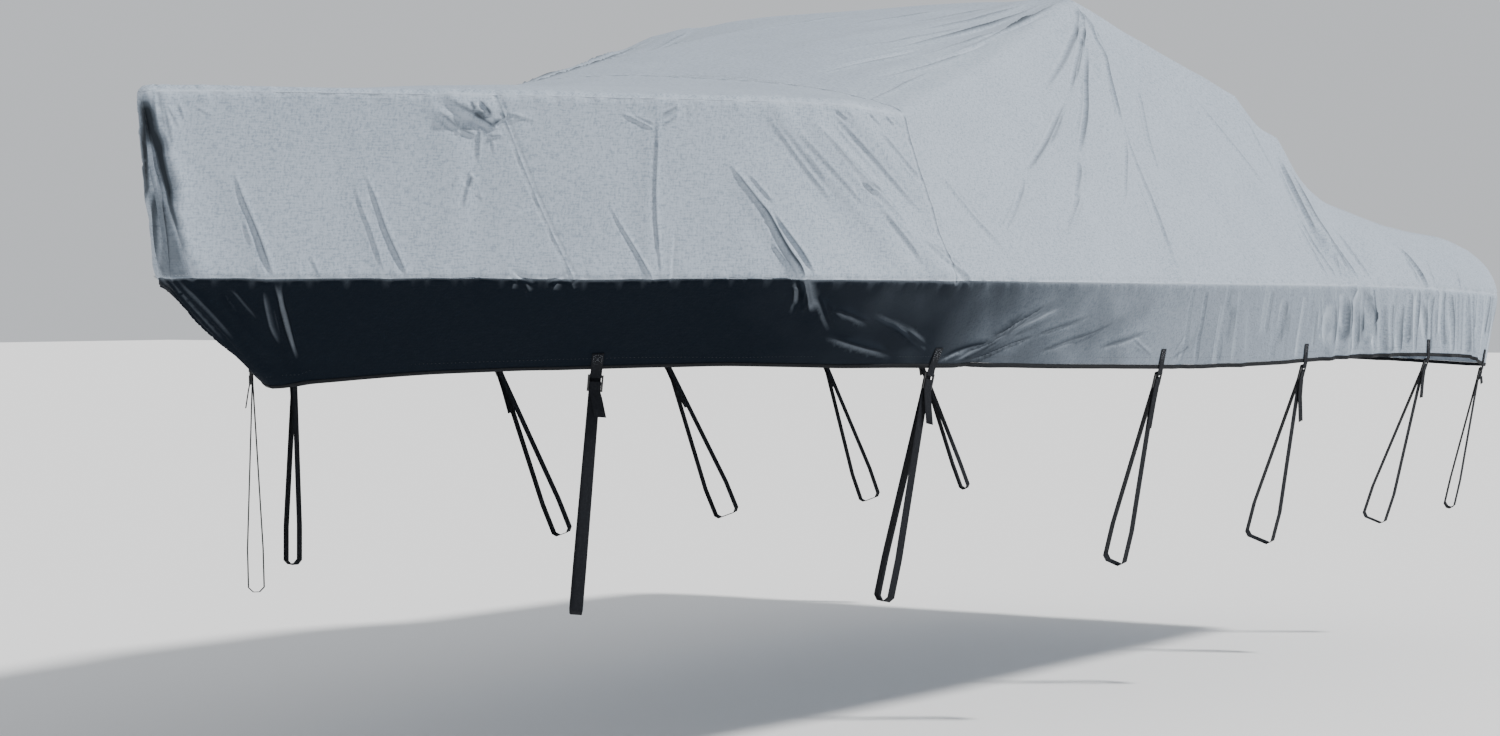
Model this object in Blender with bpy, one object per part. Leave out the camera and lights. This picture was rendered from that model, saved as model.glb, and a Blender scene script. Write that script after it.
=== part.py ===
"""Boat cover: a fitted cover of woven cloth in the shape in which it hangs, with a peak over its middle.

The cloth is cut in panels that meet at sewn seams. Every panel is one closed sheet, two millimetres thick.
Below the waist seam hangs a gathered skirt with a bound hem. Webbing straps run down from tabs on the hem.

Sizes are worked out in the cover's own terms: x runs aft from the tip of the bow, w is the distance out from
the centre line, and z is the height above the waist seam. The part's origin lies under the peak.
A place on the cloth is (s, v): s counts the sections from the bow, and v runs from the centre line over the
top's edge (1) and the waist seam (2) to the hem (3).
"""

import math
from collections import namedtuple

import bmesh
import bpy
from mathutils import Vector

# Driving sizes, in metres
CLOTH = 0.002
SEAM_GAP = 0.0003
LEAST_REACH = 0.35
PEAK_X = 3.07
PEAK_Z = 0.844
ORIGIN = Vector((PEAK_X, 0.0, PEAK_Z - CLOTH / 2))

PORT = -1
STARBOARD = 1
SIDES = {"port": PORT, "starboard": STARBOARD}

# Length of cloth between neighbouring lines of the sheet, along the waist seam
STEP_BOW = 0.10
STEP_MIDDLE = 0.15
STEP_STERN = 0.085
STERN_STARTS_AT_ROW = 16

# Rows of the table below at which the seams lie
ROW_SLANTED_SEAM = 5
ROW_DECK_SEAM = 9

# Across the top: share of the way from the centre line to the edge. The last step rounds the edge itself.
TOP_SHARES = (0.0, 0.27, 0.52, 0.76)
EDGE_ROUNDING = 0.022
EDGE_RISE = 0.009
NOSE_EDGE = 0.6
CROWN_POWER = 3.0
SIDE_LINES = 3
SKIRT_LINES = 2
SIDE_HOLLOW = 0.010
STERN_CORNER = 0.10
STERN_FAN = 3
STERN_HEM_RISE = 0.03

# The starboard cloth sags before the peak and sits a little lower at it
SLACK_STARTS = 1.25
SLACK_HELD_UNTIL = 2.30
SLACK_ENDS = 4.00
SLACK_SKEW = 0.65
SLACK_BELLY = 0.085
SLACK_PEAK = 0.042
SLACK_STRAIGHT = 0.45

COLUMNS = "bend edge_x edge_w edge_z waist_x waist_w waist_z hem_x hem_w hem_z mid_z round"
Section = namedtuple("Section", COLUMNS)

# One row for each section of the port side, from the bow to the stern corner. "bend" marks a hard bend,
# "edge" is the line where the top turns down into the side, "waist" the waist seam, "hem" the hem and "mid"
# the height of the centre line. "round" is how far the side bulges out between edge and waist.
SECTIONS = [
    Section(1, 0.000, 0.000, 0.413, 0.088, 0.000, 0.000, 0.419, 0.000, -0.247, 0.413, 0.00),
    Section(0, 0.018, 0.026, 0.415, 0.103, 0.056, 0.000, 0.430, 0.026, -0.243, 0.416, 0.00),
    Section(0, 0.075, 0.078, 0.417, 0.165, 0.116, 0.000, 0.470, 0.076, -0.235, 0.420, 0.00),
    Section(0, 0.215, 0.210, 0.420, 0.310, 0.252, 0.000, 0.575, 0.178, -0.222, 0.427, 0.00),
    Section(0, 0.400, 0.384, 0.421, 0.510, 0.445, 0.000, 0.730, 0.330, -0.212, 0.435, 0.00),
    Section(0, 0.575, 0.548, 0.421, 0.730, 0.652, 0.000, 0.905, 0.510, -0.205, 0.444, 0.00),
    Section(0, 0.840, 0.785, 0.421, 0.950, 0.856, 0.000, 1.070, 0.682, -0.200, 0.457, 0.00),
    Section(0, 1.050, 0.940, 0.421, 1.130, 1.005, 0.000, 1.230, 0.830, -0.200, 0.469, 0.00),
    Section(0, 1.270, 1.045, 0.419, 1.370, 1.105, 0.000, 1.430, 0.960, -0.203, 0.487, 0.00),
    Section(1, 1.490, 1.090, 0.405, 1.640, 1.160, 0.000, 1.670, 1.055, -0.206, 0.522, 0.00),
    Section(0, 1.900, 1.005, 0.500, 1.980, 1.195, 0.000, 1.990, 1.110, -0.210, 0.620, 0.00),
    Section(0, 2.300, 0.925, 0.600, 2.340, 1.212, 0.000, 2.340, 1.145, -0.218, 0.697, 0.00),
    Section(0, 2.700, 0.840, 0.712, 2.710, 1.220, 0.000, 2.710, 1.168, -0.226, 0.770, 0.00),
    Section(1, 3.070, 0.766, 0.829, 3.070, 1.222, 0.000, 3.070, 1.180, -0.232, 0.835, 0.00),
    Section(0, 3.500, 0.833, 0.711, 3.500, 1.222, 0.000, 3.500, 1.190, -0.230, 0.700, 0.00),
    Section(1, 3.930, 0.900, 0.593, 3.930, 1.220, 0.000, 3.930, 1.196, -0.224, 0.575, 0.00),
    Section(0, 4.030, 0.935, 0.505, 4.030, 1.219, 0.000, 4.030, 1.198, -0.222, 0.548, 0.00),
    Section(1, 4.140, 0.955, 0.470, 4.140, 1.218, 0.000, 4.140, 1.199, -0.221, 0.515, 0.00),
    Section(0, 4.250, 1.000, 0.335, 4.250, 1.216, 0.000, 4.250, 1.200, -0.220, 0.480, 0.01),
    Section(0, 4.360, 1.030, 0.268, 4.360, 1.214, -0.001, 4.360, 1.200, -0.220, 0.444, 0.02),
    Section(0, 4.600, 1.060, 0.222, 4.600, 1.211, -0.003, 4.600, 1.200, -0.221, 0.364, 0.03),
    Section(0, 5.000, 1.080, 0.176, 5.000, 1.204, -0.010, 5.000, 1.197, -0.228, 0.267, 0.03),
    Section(0, 5.350, 1.090, 0.160, 5.350, 1.197, -0.018, 5.345, 1.182, -0.242, 0.201, 0.03),
    Section(1, 5.600, 1.080, 0.135, 5.600, 1.190, -0.026, 5.580, 1.150, -0.272, 0.165, 0.03),
]
LAST_ROW = len(SECTIONS) - 1
# Past the last row the sheet turns the stern corner and then runs in to the centre line
CORNER_END = LAST_ROW + 1
STERN_MIDDLE = LAST_ROW + 2

Fold = namedtuple("Fold", "from_s from_v to_s to_v width from_depth to_depth")

# The main folds of the port side. A fold runs straight from one place on the cloth to another; "width" is
# half the width of its valley, and the depths hold at its two ends. A negative depth is a ridge.
FOLDS = [
    # Bow: the deep fold under the tip, and creases that run on over the waist seam into the skirt
    Fold(0.55, 1.06, 0.88, 1.50, 0.026, 0.013, 0.015),
    Fold(0.88, 1.50, 1.10, 1.92, 0.030, 0.015, 0.006),
    Fold(2.30, 1.50, 2.35, 2.05, 0.040, 0.006, 0.014),
    Fold(0.80, 2.15, 1.05, 2.80, 0.040, -0.012, -0.010),
    Fold(1.45, 2.20, 1.55, 2.60, 0.035, -0.012, -0.006),
    Fold(2.25, 2.40, 1.85, 2.90, 0.040, -0.013, -0.010),
    Fold(3.55, 1.50, 3.55, 2.05, 0.045, 0.005, 0.012),
    # Side: the pinch under the edge, an upright crease, and the long slack crease over the waist seam
    Fold(4.42, 1.11, 4.85, 1.08, 0.024, 0.008, 0.007),
    Fold(4.58, 1.02, 4.74, 1.07, 0.022, 0.007, 0.007),
    Fold(4.70, 1.23, 4.25, 2.00, 0.055, -0.007, -0.003),
    Fold(6.05, 1.05, 5.60, 2.00, 0.040, 0.008, 0.008),
    Fold(6.70, 1.45, 7.10, 1.93, 0.038, 0.008, 0.019),
    Fold(7.10, 1.93, 7.50, 2.40, 0.038, 0.019, 0.010),
    # Slack cloth that fans aft from under the end of the top's edge
    Fold(7.25, 1.07, 8.35, 1.90, 0.055, 0.008, 0.011),
    Fold(7.65, 1.15, 8.90, 1.98, 0.055, 0.009, 0.010),
    Fold(8.10, 1.04, 9.10, 1.60, 0.055, 0.011, 0.004),
    # Creases that spread from the peak
    Fold(12.90, 1.07, 10.05, 1.48, 0.070, 0.014, 0.006),
    Fold(12.85, 1.20, 10.85, 1.75, 0.070, 0.013, 0.005),
    Fold(12.90, 1.18, 12.00, 1.68, 0.060, 0.011, 0.005),
    Fold(13.25, 1.28, 12.35, 1.98, 0.060, 0.004, 0.012),
    Fold(12.70, 0.98, 9.60, 0.82, 0.070, 0.010, 0.005),
    Fold(12.80, 0.80, 10.40, 0.50, 0.080, 0.009, 0.004),
    # Pulls from the aft end of the wings down to the gathered skirt
    Fold(16.65, 1.20, 16.40, 1.70, 0.050, 0.010, 0.015),
    Fold(16.40, 1.70, 17.60, 2.23, 0.050, 0.015, 0.008),
    Fold(17.20, 1.25, 17.60, 1.95, 0.055, -0.010, -0.010),
    Fold(20.45, 1.43, 20.65, 2.02, 0.055, 0.004, 0.013),
    # Skirt: pulls at the straps, and gathers toward the stern
    Fold(9.35, 2.90, 10.30, 2.23, 0.045, 0.016, 0.008),
    Fold(10.90, 2.60, 11.85, 2.20, 0.045, 0.010, 0.006),
    Fold(12.45, 2.95, 12.75, 2.55, 0.040, 0.016, 0.006),
    Fold(13.60, 2.95, 13.50, 2.30, 0.045, 0.012, 0.004),
    Fold(15.20, 2.10, 15.35, 2.95, 0.045, 0.006, 0.016),
    Fold(16.50, 2.10, 16.65, 2.95, 0.040, 0.010, 0.018),
    Fold(18.40, 2.10, 18.55, 2.95, 0.040, 0.010, 0.020),
    Fold(19.40, 2.15, 19.45, 2.95, 0.040, 0.008, 0.018),
    Fold(20.15, 2.10, 20.18, 2.95, 0.040, 0.008, 0.014),
    Fold(21.25, 2.10, 21.15, 2.95, 0.045, 0.009, 0.020),
    Fold(21.80, 2.20, 21.85, 2.95, 0.045, 0.006, 0.016),
    Fold(22.35, 2.10, 22.25, 2.95, 0.045, 0.008, 0.016),
    Fold(23.60, 2.10, 23.60, 2.95, 0.045, 0.008, 0.014),
    Fold(24.35, 2.10, 24.32, 2.95, 0.050, 0.006, 0.016),
    Fold(24.70, 2.10, 24.74, 2.95, 0.050, 0.006, 0.014),
]

# The starboard folds are the same in kind but lie elsewhere and are flatter or deeper by turns
FOLD_SHIFT = 0.22
FOLD_EASE = 0.18
FOLD_LIP = 0.45
FOLD_LIP_AT = 1.7
FOLD_STEPS = 8
FOLD_FADE = 3.5
LONGEST_FOLD = 1.5
BOW_ROWS = 3
BOW_ROOM = 0.3
FOLD_REACH = 1.2

# Sheet edges near a fold are split until they are this much of the fold's width
EDGE_TO_WIDTH = 2.1
SPLIT_ROUNDS = 3
SNAP_SHARE = 0.28

# Hem binding
BINDING_HEIGHT = 0.012
BINDING_THICKNESS = 0.004
BINDING_GAP = 0.0004

# Webbing, tabs and buckles
WEBBING_WIDTH = 0.028
WEBBING = 0.0016
CLEARANCE = 0.00045
TAB_ABOVE_HEM = 0.045
TAB_BELOW_BINDING = 0.0030
TAB_TO_BUCKLE = 0.010
TAB_CALM = 0.10
CALM_CORE = 0.5
TAB_MIDDLE_V = 2.88
TAB_TOP_V = 2.62
TAB_FLAT = 0.026
TAB_MARGIN = 0.4
BAR_THICKNESS = 0.004
BUCKLE_ACROSS = (-0.019, -0.015, 0.015, 0.019)
BUCKLE_DOWN = (0.0, 0.005, 0.017, 0.023, 0.035, 0.040)
LOOP_HEIGHT = 0.11
LOOP_CORNER = 0.012
TAIL_CLEAR = 0.005
TAIL_BEND = 0.55
TAIL_BEND_SWING = 0.3
TAIL_BEND_LIFT = 0.003
TAIL_END_LIFT = 0.010
PARTING_BELOW = 0.002
END_ABOVE = 0.003
SHARPEST_MITRE = 0.5
FOOT_Z = -0.80

Strap = namedtuple("Strap", "station foot_x foot_w loop tail swing")

# The straps of one side: place on the hem, the foot's place, width of the loop at the foot, length of the
# free tail and how far aft the tail has swung
STRAPS = [
    Strap(5.28, 0.930, 0.510, 0.040, 0.100, 0.018),
    Strap(9.08, 1.600, 0.975, 0.044, 0.125, 0.024),
    Strap(12.25, 2.910, 0.980, 0.064, 0.165, -0.006),
    Strap(14.69, 3.910, 1.000, 0.090, 0.190, 0.045),
    Strap(20.66, 4.900, 1.000, 0.080, 0.135, 0.030),
    Strap(22.86, 5.650, 1.000, 0.036, 0.055, 0.004),
]


def clear_scene():
    for thing in list(bpy.data.objects):
        bpy.data.objects.remove(thing)


def row_length(k):
    """Length of the waist seam from row k to the next."""
    here, there = SECTIONS[k], SECTIONS[k + 1]
    return math.dist((here.waist_x, here.waist_w), (there.waist_x, there.waist_w))


def slope_at(k, name, toward):
    """Slope of one column of the table at row k, for the stretch that lies toward +1 or -1 of it."""
    values = [getattr(row, name) for row in SECTIONS]
    first = k == 0 or (SECTIONS[k].bend and toward > 0)
    last = k == LAST_ROW or (SECTIONS[k].bend and toward < 0)
    if first:
        return (values[k + 1] - values[k]) / row_length(k)
    if last:
        return (values[k] - values[k - 1]) / row_length(k - 1)
    before, after = row_length(k - 1), row_length(k)
    rise_before = (values[k] - values[k - 1]) / before
    rise_after = (values[k + 1] - values[k]) / after
    return (rise_before * after + rise_after * before) / (before + after)


def section_at(s):
    """The section at row position s: smooth from row to row, and bent at the rows that are marked so."""
    k = min(int(s), LAST_ROW - 1)
    f = s - k
    length = row_length(k)
    values = {"bend": 0}
    for name in Section._fields[1:]:
        start, end = getattr(SECTIONS[k], name), getattr(SECTIONS[k + 1], name)
        start_slope = slope_at(k, name, 1) * length
        end_slope = slope_at(k + 1, name, -1) * length
        values[name] = (
            start * (2 * f**3 - 3 * f**2 + 1)
            + start_slope * (f**3 - 2 * f**2 + f)
            + end * (3 * f**2 - 2 * f**3)
            + end_slope * (f**3 - f**2)
        )
    return Section(**values)


def clamp(value):
    return max(0.0, min(1.0, value))


def slack_at(x, share):
    """How far the starboard cloth sags: most between the deck seam and the peak, a little at the peak."""
    before = (x - SLACK_STARTS) / (PEAK_X - SLACK_STARTS)
    after = (SLACK_ENDS - x) / (SLACK_ENDS - PEAK_X)
    belly = SLACK_BELLY * math.sin(math.pi * clamp(before) ** SLACK_SKEW)
    held = clamp((SLACK_HELD_UNTIL - x) / (SLACK_HELD_UNTIL - SECTIONS[ROW_DECK_SEAM].edge_x))
    belly *= (1 - (1 - share) ** 3) * (1 - held * share**4)
    curve = SLACK_STRAIGHT * share + (1 - SLACK_STRAIGHT) * share**2
    return belly + SLACK_PEAK * clamp(min(before, after)) * curve


def top_point(section, share, side):
    """Point of the top at a share of the way out from the centre line."""
    w = section.edge_w * share
    crown = (section.mid_z - section.edge_z) * (1 - share**CROWN_POWER)
    rise = EDGE_RISE * min(1.0, (section.edge_w - w) / EDGE_ROUNDING)
    z = section.edge_z + crown + rise
    if side == STARBOARD:
        z -= slack_at(section.edge_x, share)
    return Vector((section.edge_x, side * w, z))


def side_ends(s, side):
    """Edge, waist and hem of the line at s, along the side, around the stern corner or across the stern."""
    section = section_at(min(s, LAST_ROW))
    waist = Vector((section.waist_x, section.waist_w, section.waist_z))
    hem = Vector((section.hem_x, section.hem_w, section.hem_z))
    share = 1.0
    if s > LAST_ROW:
        turn = min(1.0, s - LAST_ROW) * math.pi / 2
        for point in (waist, hem):
            point.x += STERN_CORNER * math.sin(turn)
            point.y -= STERN_CORNER * (1 - math.cos(turn))
    if s > CORNER_END:
        share = STERN_MIDDLE - s
        waist.y *= share
        hem.y *= share
        hem.z += STERN_HEM_RISE * (1 - share**2)
    waist.y *= side
    hem.y *= side
    return top_point(section, share, side), waist, hem, section.round


def surface(s, v, side):
    """Middle of the smooth cloth at the place (s, v)."""
    if v <= 1 and s <= LAST_ROW:
        return top_point(section_at(s), v, side)
    edge, waist, hem, bulge = side_ends(s, side)
    if v >= 2:
        return waist.lerp(hem, v - 2)
    q = v - 1
    drop = waist - edge
    out = Vector((0.0, -drop.z, drop.y)) * side
    if s > LAST_ROW:
        turn = min(1.0, s - LAST_ROW)
        out = out * (1 - turn) + Vector((-drop.z, 0.0, drop.x)) * turn
    if out.length < 1e-6:
        return edge.lerp(waist, q)
    return edge.lerp(waist, q) + out.normalized() * (bulge - SIDE_HOLLOW) * math.sin(math.pi * q)


def top_shares(section):
    """Shares across the top, with the last but one a rounding short of the edge."""
    edge = NOSE_EDGE
    if section.edge_w > EDGE_ROUNDING:
        edge = max(NOSE_EDGE, 1 - EDGE_ROUNDING / section.edge_w)
    return [share * edge for share in TOP_SHARES] + [edge, 1.0]


def row_to_s(strap, offset):
    """The place on the hem that lies a length aft of a strap's station."""
    k = min(int(strap.station), LAST_ROW - 1)
    here, there = SECTIONS[k], SECTIONS[k + 1]
    return strap.station + offset / math.dist((here.hem_x, here.hem_w), (there.hem_x, there.hem_w))


def side_stations():
    """Row positions of the sheet's lines along one side, with two that bound the flat cloth under each tab."""
    stations = [0.0]
    for k in range(LAST_ROW):
        step = STEP_BOW if k < ROW_DECK_SEAM else STEP_MIDDLE
        if k >= STERN_STARTS_AT_ROW:
            step = STEP_STERN
        count = max(1, round(row_length(k) / step))
        stations += [k + (i + 1) / count for i in range(count)]
    for strap in STRAPS:
        first, last = row_to_s(strap, -TAB_FLAT), row_to_s(strap, TAB_FLAT)
        margin = (last - first) * TAB_MARGIN
        keep = [s for s in stations if s == int(s) and not first < s < last]
        keep += [s for s in stations if s != int(s) and not first - margin < s < last + margin]
        stations = sorted(keep + [first, last])
    return stations


class Sheet:
    """The cloth's middle surface: points, triangles and the panel that each triangle belongs to."""

    def __init__(self):
        self.points = []
        self.marks = []
        self.faces = []

    def add(self, s, v, side):
        self.points.append(surface(s, v, side))
        self.marks.append((s, v, side))
        return len(self.points) - 1

    def quad(self, panel, side, corners):
        """Two triangles over the shorter diagonal, facing out; a collapsed corner leaves one."""
        a, b, c, d = corners if side == PORT else corners[::-1]
        ids = list(dict.fromkeys((a, b, c, d)))
        if len(ids) == 3:
            self.faces.append((panel, tuple(ids)))
        if len(ids) < 4:
            return
        p = self.points
        if (p[a] - p[c]).length <= (p[b] - p[d]).length:
            self.faces += [(panel, (a, b, c)), (panel, (a, c, d))]
        else:
            self.faces += [(panel, (a, b, d)), (panel, (b, c, d))]


def build_half(sheet, side, stations, centre, seam):
    """One half of the cover. "seam" holds the lines that both halves share, at the bow and at the stern."""
    top = []
    for n, s in enumerate(stations):
        if n == 0:
            top.append([centre[0]] * len(top_shares(section_at(s))))
        else:
            shares = top_shares(section_at(s))
            top.append([centre[n]] + [sheet.add(s, share, side) for share in shares[1:]])
    for n in range(len(stations) - 1):
        panel = "foredeck_panel" if stations[n] < ROW_DECK_SEAM else "main_panel"
        for j in range(len(top[0]) - 1):
            sheet.quad(panel, side, (top[n][j], top[n + 1][j], top[n + 1][j + 1], top[n][j + 1]))

    # From the edge down to the hem: along the side, around the corner, and across the stern
    ends = [(s, row[-1]) for s, row in zip(stations, top)]
    ends += [(LAST_ROW + i / STERN_FAN, top[-1][-1]) for i in range(1, STERN_FAN + 1)]
    shares = top_shares(section_at(LAST_ROW))
    ends += [(STERN_MIDDLE - shares[j], top[-1][j]) for j in range(len(shares) - 2, -1, -1)]
    drops = [1 + i / SIDE_LINES for i in range(1, SIDE_LINES + 1)]
    drops += [2 + i / SKIRT_LINES for i in range(1, SKIRT_LINES + 1)]
    lines = []
    for s, edge in ends:
        if s in seam:
            lines.append(seam[s])
        else:
            lines.append([edge] + [sheet.add(s, v, side) for v in drops])
        if s in (0, STERN_MIDDLE):
            seam[s] = lines[-1]
    word = "port" if side == PORT else "starboard"
    for n in range(len(lines) - 1):
        s = ends[n][0]
        body = "main_panel"
        if s < ROW_SLANTED_SEAM:
            body = f"bow_side_panel_{word}_front"
        elif s < ROW_DECK_SEAM:
            body = f"bow_side_panel_{word}_aft"
        for j in range(len(drops)):
            panel = body if j < SIDE_LINES else f"skirt_{word}"
            sheet.quad(panel, side, (lines[n][j], lines[n + 1][j], lines[n + 1][j + 1], lines[n][j + 1]))


def fold_lines():
    """Every fold as its path on the smooth cloth, its width and its depths."""
    found = []
    for n, fold in enumerate(FOLDS):
        turn = 1 if n % 2 else -1
        for side in (PORT, STARBOARD):
            shift = 0.0 if side == PORT else FOLD_SHIFT * turn
            ease = 1.0 if side == PORT else 1 - FOLD_EASE * turn
            path = []
            for i in range(FOLD_STEPS + 1):
                part_way = i / FOLD_STEPS
                s = fold.from_s + (fold.to_s - fold.from_s) * part_way + shift
                v = fold.from_v + (fold.to_v - fold.from_v) * part_way
                path.append(surface(min(max(s, 0.0), STERN_MIDDLE), v, side))
            found.append((path, fold.width, fold.from_depth * ease, fold.to_depth * ease, side))
    # The flat cloth under each tab, which needs points of its own
    for strap in STRAPS:
        for side in (PORT, STARBOARD):
            path = [surface(strap.station, v, side) for v in (TAB_TOP_V, 3)]
            found.append((path, TAB_FLAT, 0.0, 0.0, side))
    return found


def fold_distance(path, point):
    """How far a point lies from a fold's path, the share of the path passed, and the step across to it."""
    best = None
    for i in range(len(path) - 1):
        along = path[i + 1] - path[i]
        f = clamp((point - path[i]).dot(along) / along.length_squared)
        across = point - (path[i] + along * f)
        if best is None or across.length < best[0]:
            best = (across.length, (i + f) / (len(path) - 1), across, along)
    return best


def fold_depth(folds, point, normal):
    """Depth of all folds together at a point of the smooth cloth."""
    depth = 0.0
    for path, width, start, end, side in folds:
        if (point - path[len(path) // 2]).length > LONGEST_FOLD:
            continue
        distance, part_way, across, along = fold_distance(path, point)
        if distance > FOLD_FADE * width:
            continue
        x = distance / width
        beside = across.dot(along.cross(normal).normalized()) / width * side
        past_end = math.exp(-max(0.0, x**2 - beside**2))
        form = math.exp(-(x**2)) - FOLD_LIP * past_end * math.exp(-((beside - FOLD_LIP_AT) ** 2))
        depth += (start + (end - start) * part_way) * form
    return depth


def split_near_folds(sheet, folds):
    """Splits the sheet's edges near the folds, so that the folds find enough points."""
    for _ in range(SPLIT_ROUNDS):
        middles = {}
        for _, face in sheet.faces:
            for i in range(3):
                a, b = sorted((face[i], face[(i + 1) % 3]))
                if (a, b) in middles:
                    continue
                middles[a, b] = None
                middle = (sheet.points[a] + sheet.points[b]) / 2
                length = (sheet.points[a] - sheet.points[b]).length
                if wants_split(folds, middle, length):
                    middles[a, b] = add_middle(sheet, a, b, middle)
        faces = []
        for panel, face in sheet.faces:
            faces += [(panel, t) for t in split_face(sheet, face, middles)]
        sheet.faces = faces


def wants_split(folds, middle, length):
    for path, width, *_ in folds:
        if length < EDGE_TO_WIDTH * width:
            continue
        if (middle - path[len(path) // 2]).length > LONGEST_FOLD:
            continue
        if fold_distance(path, middle)[0] < FOLD_REACH * width:
            return True
    return False


def add_middle(sheet, a, b, middle):
    mark_a, mark_b = sheet.marks[a], sheet.marks[b]
    side = STARBOARD if middle.y > 1e-9 else PORT
    sheet.points.append(middle)
    sheet.marks.append(((mark_a[0] + mark_b[0]) / 2, (mark_a[1] + mark_b[1]) / 2, side))
    return len(sheet.points) - 1


def snap_to_folds(sheet, folds):
    """Moves points that lie close to a fold's path onto it, so that its valley runs straight."""
    shortest = {}
    for _, face in sheet.faces:
        for i in range(3):
            a, b = face[i], face[(i + 1) % 3]
            length = (sheet.points[a] - sheet.points[b]).length
            for end in (a, b):
                shortest[end] = min(shortest.get(end, length), length)
    for i, point in enumerate(sheet.points):
        s, v, _ = sheet.marks[i]
        if v in (0, 1, 2, 3) or s in (0, ROW_SLANTED_SEAM, ROW_DECK_SEAM, STERN_MIDDLE):
            continue
        for path, *_ in folds:
            if (point - path[len(path) // 2]).length > LONGEST_FOLD:
                continue
            distance, part_way, across, _ = fold_distance(path, point)
            if 0 < part_way < 1 and distance < SNAP_SHARE * shortest[i]:
                sheet.points[i] = point - across
                break


def split_face(sheet, face, middles):
    """The triangle cut at those of its edges that have a middle point."""
    cuts = [middles[tuple(sorted((face[i], face[(i + 1) % 3])))] for i in range(3)]
    count = sum(cut is not None for cut in cuts)
    if count == 0:
        return [face]
    if count == 3:
        ab, bc, ca = cuts
        a, b, c = face
        return [(a, ab, ca), (ab, b, bc), (ca, bc, c), (ab, bc, ca)]
    # Turned so that the first edge is cut, and with two cuts also the second
    is_cut = [cut is not None for cut in cuts]
    turn = next(i for i in range(3) if is_cut[i] and (count == 1 or is_cut[(i + 1) % 3]))
    a, b, c = (face[(turn + i) % 3] for i in range(3))
    ab, bc = cuts[turn], cuts[(turn + 1) % 3]
    if count == 1:
        return [(a, ab, c), (ab, b, c)]
    p = sheet.points
    if (p[a] - p[bc]).length <= (p[ab] - p[c]).length:
        return [(ab, b, bc), (a, ab, bc), (a, bc, c)]
    return [(ab, b, bc), (a, ab, c), (ab, bc, c)]


def point_normals(sheet):
    normals = [Vector() for _ in sheet.points]
    for _, (a, b, c) in sheet.faces:
        p, q, r = (sheet.points[i] for i in (a, b, c))
        across = (q - p).cross(r - p)
        for i in (a, b, c):
            normals[i] += across
    return [n.normalized() if n.length > 0 else Vector((0, 0, 1)) for n in normals]


def calm_at(point, tab_points):
    """0 under a tab, where the cloth is pulled flat, and 1 away from it."""
    nearest = min((point - tab).length for tab in tab_points)
    return clamp(nearest / TAB_CALM - CALM_CORE) ** 2


def lay_folds(sheet, folds):
    normals = point_normals(sheet)
    tabs = [surface(strap.station, TAB_MIDDLE_V, side) for strap in STRAPS for side in (PORT, STARBOARD)]
    for i, point in enumerate(sheet.points):
        depth = fold_depth(folds, point, normals[i]) * calm_at(point, tabs)
        if sheet.marks[i][0] < BOW_ROWS:
            # Near the bow's edge a fold stays well short of the centre line
            room = abs(point.y) * BOW_ROOM
            depth = max(-room, min(room, depth))
        sheet.points[i] = point - normals[i] * depth


def build_sheet():
    sheet = Sheet()
    stations = side_stations()
    centre = [sheet.add(s, 0.0, PORT) for s in stations]
    seam = {}
    for side in (PORT, STARBOARD):
        build_half(sheet, side, stations, centre, seam)
    folds = fold_lines()
    split_near_folds(sheet, folds)
    snap_to_folds(sheet, folds)
    lay_folds(sheet, folds)
    return sheet


def panel_shifts(sheet, panel, faces, face_count):
    """How far each point of a panel draws back from the seams that it lies on."""
    pulls = {}
    for face in faces:
        for i in range(3):
            a, b, c = face[i], face[(i + 1) % 3], face[(i + 2) % 3]
            counts = face_count[frozenset((a, b))]
            if counts[panel] != 1 or sum(counts.values()) == 1:
                continue
            along = (sheet.points[b] - sheet.points[a]).normalized()
            inward = sheet.points[c] - sheet.points[a]
            inward = (inward - along * inward.dot(along)).normalized()
            for end in (a, b):
                pulls.setdefault(end, []).append(inward)
    shifts = {}
    for point, ways in pulls.items():
        mean = sum(ways, Vector()) / len(ways)
        reach = max(LEAST_REACH, mean.length**2)
        shifts[point] = mean * (SEAM_GAP / 2 / reach)
    return shifts


def panel_mesh(sheet, normals, panel, face_count):
    """A closed solid: the panel's triangles half a thickness out and in, and a rim around them."""
    faces = [t for name, t in sheet.faces if name == panel]
    shifts = panel_shifts(sheet, panel, faces, face_count)
    mesh = bmesh.new()
    outer, inner = {}, {}
    for i in sorted({i for face in faces for i in face}):
        middle = sheet.points[i] + shifts.get(i, Vector()) - ORIGIN
        outer[i] = mesh.verts.new(middle + normals[i] * CLOTH / 2)
        inner[i] = mesh.verts.new(middle - normals[i] * CLOTH / 2)
    for face in faces:
        mesh.faces.new([outer[i] for i in face])
        mesh.faces.new([inner[i] for i in reversed(face)])
        for k in range(3):
            a, b = face[k], face[(k + 1) % 3]
            if face_count[frozenset((a, b))][panel] == 1:
                mesh.faces.new((outer[b], outer[a], inner[a], inner[b]))
    bmesh.ops.triangulate(mesh, faces=[f for f in mesh.faces if len(f.verts) == 4])
    return mesh


def add_object(name, mesh, material, smooth=False):
    data = bpy.data.meshes.new(name)
    mesh.to_mesh(data)
    mesh.free()
    data.materials.append(material)
    if smooth:
        data.shade_smooth()
    thing = bpy.data.objects.new(name, data)
    bpy.context.collection.objects.link(thing)
    return thing


def make_material(name, colour, roughness, metallic=0.0):
    material = bpy.data.materials.new(name)
    material.use_nodes = True
    shader = material.node_tree.nodes["Principled BSDF"]
    shader.inputs["Base Color"].default_value = (*colour, 1.0)
    shader.inputs["Roughness"].default_value = roughness
    shader.inputs["Metallic"].default_value = metallic
    return material


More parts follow.
